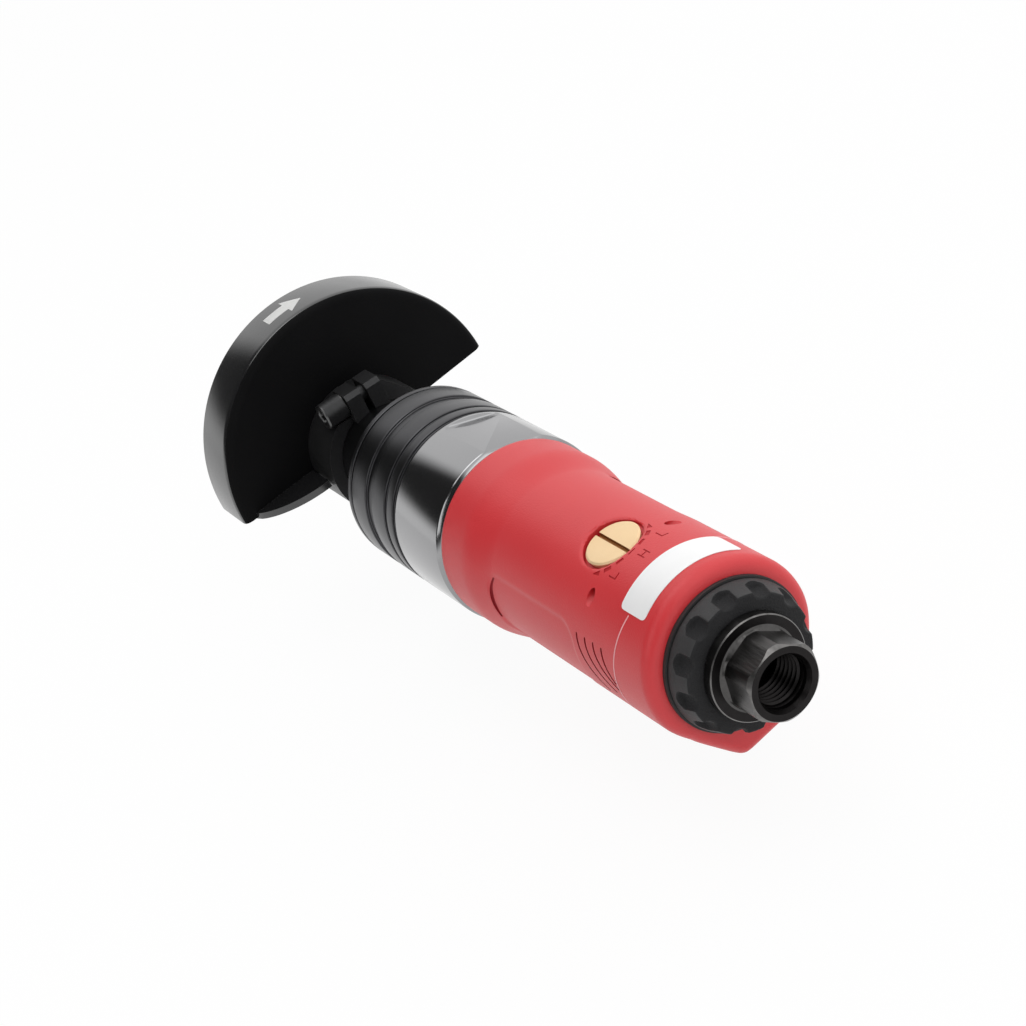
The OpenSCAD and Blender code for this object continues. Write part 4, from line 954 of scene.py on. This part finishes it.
# Guard: half drum pressed from steel sheet with a hub plate, painted satin black, with a finger lip
# bent back at its left end. Its edges are rounded by the press and the paint.
guard_r = 41.47 * mm
guard_t = 2 * mm
guard_deg = 178
guard_turn = math.radians(3.6)
guard_round = 2.6 * mm
guard_edge = 0.35 * mm
guard_l = 16.7 * mm
guard_rim_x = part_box("wheel_guard")[1].x
guard_x = guard_rim_x - guard_l
guard_hub_r = 15.8 * mm
clamp_r = 17.6 * mm
rim_skin = 0.4 * mm
hub_inset = 0.02 * mm
hub_bore_r = nose_r + 0.05 * mm
guard_paint = surface("guard_paint", (0.006, 0.006, 0.0063), (0.004, 0.004, 0.0043), (0.42, 0.54), cloud=70,
                      grain=900, grain_depth=0.03, shine=0.04)
sheen_paint = surface("sheen_paint", (0.012, 0.012, 0.0125), (0.008, 0.008, 0.0085), (0.15, 0.21), cloud=70,
                       grain=900, grain_depth=0.006, shine=1.0)
guard_bm = bmesh.new()
turned(guard_bm, rounded([
    (guard_rim_x, guard_r - guard_t), (guard_rim_x, guard_r), (guard_x, guard_r, guard_round),
    (guard_x, guard_hub_r), (guard_x + guard_t, guard_hub_r),
    (guard_x + guard_t, guard_r - guard_t, guard_round - guard_t)],
    guard_edge, 6), guard_deg, math.radians(guard_deg), math.radians(guard_deg / 2) - guard_turn)
# The rim's outer face, the finger lip and the rounded edges take a lighter, glossier copy of the paint:
# painted sheen.
for face in guard_bm.faces:
    middle = face.calc_center_median()
    face.material_index = 1 if math.hypot(middle.y, middle.z) > guard_r - rim_skin else 0
half_guard = place(guard_bm, "half_guard", [guard_paint, sheen_paint])
hub_x = guard_x + hub_inset
hub_end_x = guard_x + guard_t - hub_inset
hub_bm = bmesh.new()
turned(hub_bm, [(hub_x, hub_bore_r), (hub_x, clamp_r), (hub_end_x, clamp_r), (hub_end_x, hub_bore_r)], 128)
cut(half_guard, place(hub_bm, "hub_tool", [guard_paint]), "UNION")
finger_root_x = guard_x + guard_t / 2
finger_l = 11.5 * mm
finger_low_y = 17.9 * mm
finger_span = 19.9 * mm
finger_power = 0.68
finger_steps = 24
finger_bm = bmesh.new()
finger_corners = [finger_bm.verts.new((finger_root_x, finger_low_y, 0))]
for k in range(finger_steps + 1):
    share = k / finger_steps
    finger_x = finger_root_x - finger_l * (1 - share ** 2) ** finger_power
    finger_corners.append(finger_bm.verts.new((finger_x, finger_low_y + finger_span * share, 0)))
finger_bm.faces.new(finger_corners)
pull(finger_bm, (0, 0, guard_t))
bmesh.ops.rotate(finger_bm, verts=finger_bm.verts, cent=(0, 0, 0), matrix=Matrix.Rotation(guard_turn, 3, "X"))
bmesh.ops.recalc_face_normals(finger_bm, faces=finger_bm.faces)
finger_tool = place(finger_bm, "lip_tool", [guard_paint, sheen_paint])
paint(finger_tool, 1)
cut(half_guard, finger_tool, "UNION")
ease_edges(half_guard, guard_edge, 3, 40)
stand_for(half_guard, "wheel_guard", "guard")

# Arrow: a plain white arrow printed in thin ink on the top of the guard's rim, for the way the
# wheel turns.
arrow_x = 207.9 * mm
arrow_tail, arrow_neck, arrow_tip = math.radians(3.7), math.radians(-5.6), math.radians(-12.4)
arrow_shaft_w = 4.3 * mm
arrow_head_w = 9.2 * mm
arrow_point_w = 0.2 * mm
arrow_steps = 24
arrow_lift = 0.02 * mm
arrow_sink = 0.1 * mm
arrow_ink = surface("arrow_ink", (0.62, 0.62, 0.61), (0.54, 0.54, 0.53), (0.4, 0.5), cloud=300)
arrow_bm = bmesh.new()
arrow_outline = ((arrow_tail, arrow_shaft_w), (arrow_neck, arrow_shaft_w), (arrow_neck, arrow_head_w),
                 (arrow_tip, arrow_point_w))
arrow_left = [arrow_bm.verts.new((arrow_x + w / 2, turn, 0)) for turn, w in arrow_outline]
arrow_right = [arrow_bm.verts.new((arrow_x - w / 2, turn, 0)) for turn, w in reversed(arrow_outline)]
arrow_bm.faces.new(arrow_left + arrow_right)
bmesh.ops.triangulate(arrow_bm, faces=list(arrow_bm.faces))
for k in range(1, arrow_steps):
    turn = arrow_tail + (arrow_tip - arrow_tail) * k / arrow_steps
    bmesh.ops.bisect_plane(arrow_bm, geom=list(arrow_bm.verts) + list(arrow_bm.edges) + list(arrow_bm.faces),
                           plane_co=(0, turn, 0), plane_no=(0, 1, 0))
pull(arrow_bm, (0, 0, arrow_lift + arrow_sink))
for vert in arrow_bm.verts:
    r = guard_r - arrow_sink + vert.co.z
    vert.co = (vert.co.x, r * math.sin(vert.co.y), r * math.cos(vert.co.y))
bmesh.ops.recalc_face_normals(arrow_bm, faces=arrow_bm.faces)
turn_arrow = place(arrow_bm, "turn_arrow", [arrow_ink])
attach(turn_arrow, "guard")

# Clamp: a steel band welded to the guard's hub plate, with two ears drawn together by a socket
# screw. Both are blackened; their edges are a lighter grey steel, rubbed and with painted highlights.
clamp_steel = surface("clamp_steel", (0.035, 0.035, 0.036), (0.02, 0.02, 0.021), (0.34, 0.46), metal=0.6,
                      cloud=180, grain=1800, grain_depth=0.05)
rubbed_glint_steel = surface("rubbed_glint_steel", (0.16, 0.16, 0.16), (0.09, 0.09, 0.09), (0.3, 0.42), metal=1.0,
                       cloud=260)
clamp_edge = 0.4 * mm
screw_edge = 0.5 * mm


def dress(node, name, materials, body, edge, segments=2):
    """Puts a node's own shape, with its edges eased, in the node's place."""
    piece = place(merged_copy(node), name, materials)
    ease_edges(piece, edge, segments)
    stand_for(piece, node, body)


dress("guard_clamp", "clamp_band", [clamp_steel, rubbed_glint_steel], "guard", clamp_edge, 3)
dress("clamp_screw", "band_screw", [clamp_steel, rubbed_glint_steel], "guard", screw_edge, 3)

# Wheel flanges and arbor screw: turned steel, blackened, on the spindle's end inside the guard.
# Their rims are broken, and the screw's head has a hexagon socket.
black_steel = surface("black_steel", (0.09, 0.09, 0.092), (0.055, 0.055, 0.058), (0.28, 0.42), metal=1.0,
                      cloud=200)
flange_edge = 0.25 * mm
for node, name in (("inner_flange", "back_flange"), ("outer_flange", "face_flange"),
                   ("arbor_screw", "wheel_screw")):
    # The rounded rims take the lighter steel: wear and painted glints.
    dress(node, name, [black_steel, wear_glint_steel], "drive", flange_edge)

# Lever and latch: the lever is a channel pressed from sheet, the latch a tongue that folds in its
# slot. Both are painted black, with the press's rounded edges.
lever_paint = surface("lever_paint", (0.03, 0.03, 0.032), (0.02, 0.02, 0.022), (0.24, 0.34), cloud=90,
                      grain=900)
lever_edge = 0.35 * mm
latch_edge = 0.2 * mm
dress("throttle_lever", "lever_channel", [lever_paint], "lever", lever_edge, 3)
dress("safety_latch", "latch_tongue", [lever_paint], "latch", latch_edge)

# Pieces inside and small pieces, shown as they are built, in the finishes of their slots: pins, seals,
# washers, the felt muffler, the brass valve and the vane motor with its bearings.
brass = surface("satin_brass", (0.80, 0.58, 0.30), (0.68, 0.46, 0.21), (0.24, 0.4), metal=1.0, cloud=160,
                grain=2600, grain_depth=0.03)
bright_steel = surface("bright_steel", (0.56, 0.56, 0.57), (0.46, 0.46, 0.47), (0.2, 0.34), metal=1.0,
                       cloud=80, grain=1800, grain_depth=0.01, stretch=(1, 0.2, 0.2))
black_rubber = surface("black_rubber", (0.025, 0.025, 0.025), (0.018, 0.018, 0.018), (0.5, 0.65), grain=1500)
felt = surface("felt", (0.34, 0.32, 0.28), (0.22, 0.21, 0.18), (0.85, 0.95), cloud=900, grain=4000,
               grain_depth=0.5)
vane_fibre = surface("vane_fibre", (0.16, 0.09, 0.05), (0.10, 0.055, 0.03), (0.45, 0.6), cloud=500,
                     grain=3000)
finishes = {"red_grip": red_skin, "black_steel": black_steel, "guard_black": guard_paint,
            "lever_black": lever_paint, "black_moulding": grained_plastic, "black_rubber": black_rubber,
            "felt": felt, "brass": brass, "vane_fibre": vane_fibre, "bright_steel": bright_steel}
for subpart in frame["record"]["subparts"]:
    node_mesh = frame["nodes"][subpart["node"]].data
    node_mesh.materials.clear()
    node_mesh.materials.append(finishes[subpart["material_slot"]])

# Springs: a coil of bright steel wire between the poppet and the regulator's cup, and a torsion spring
# on the latch's pin. Each gets a mesh of its own.
valve_coil = place(merged_copy("valve_spring"), "valve_coil", [bright_steel])
stand_for(valve_coil, "valve_spring", "handle")
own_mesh(valve_coil)
latch_curl = place(merged_copy("latch_spring"), "latch_curl", [bright_steel])
stand_for(latch_curl, "latch_spring", "lever")
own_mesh(latch_curl)
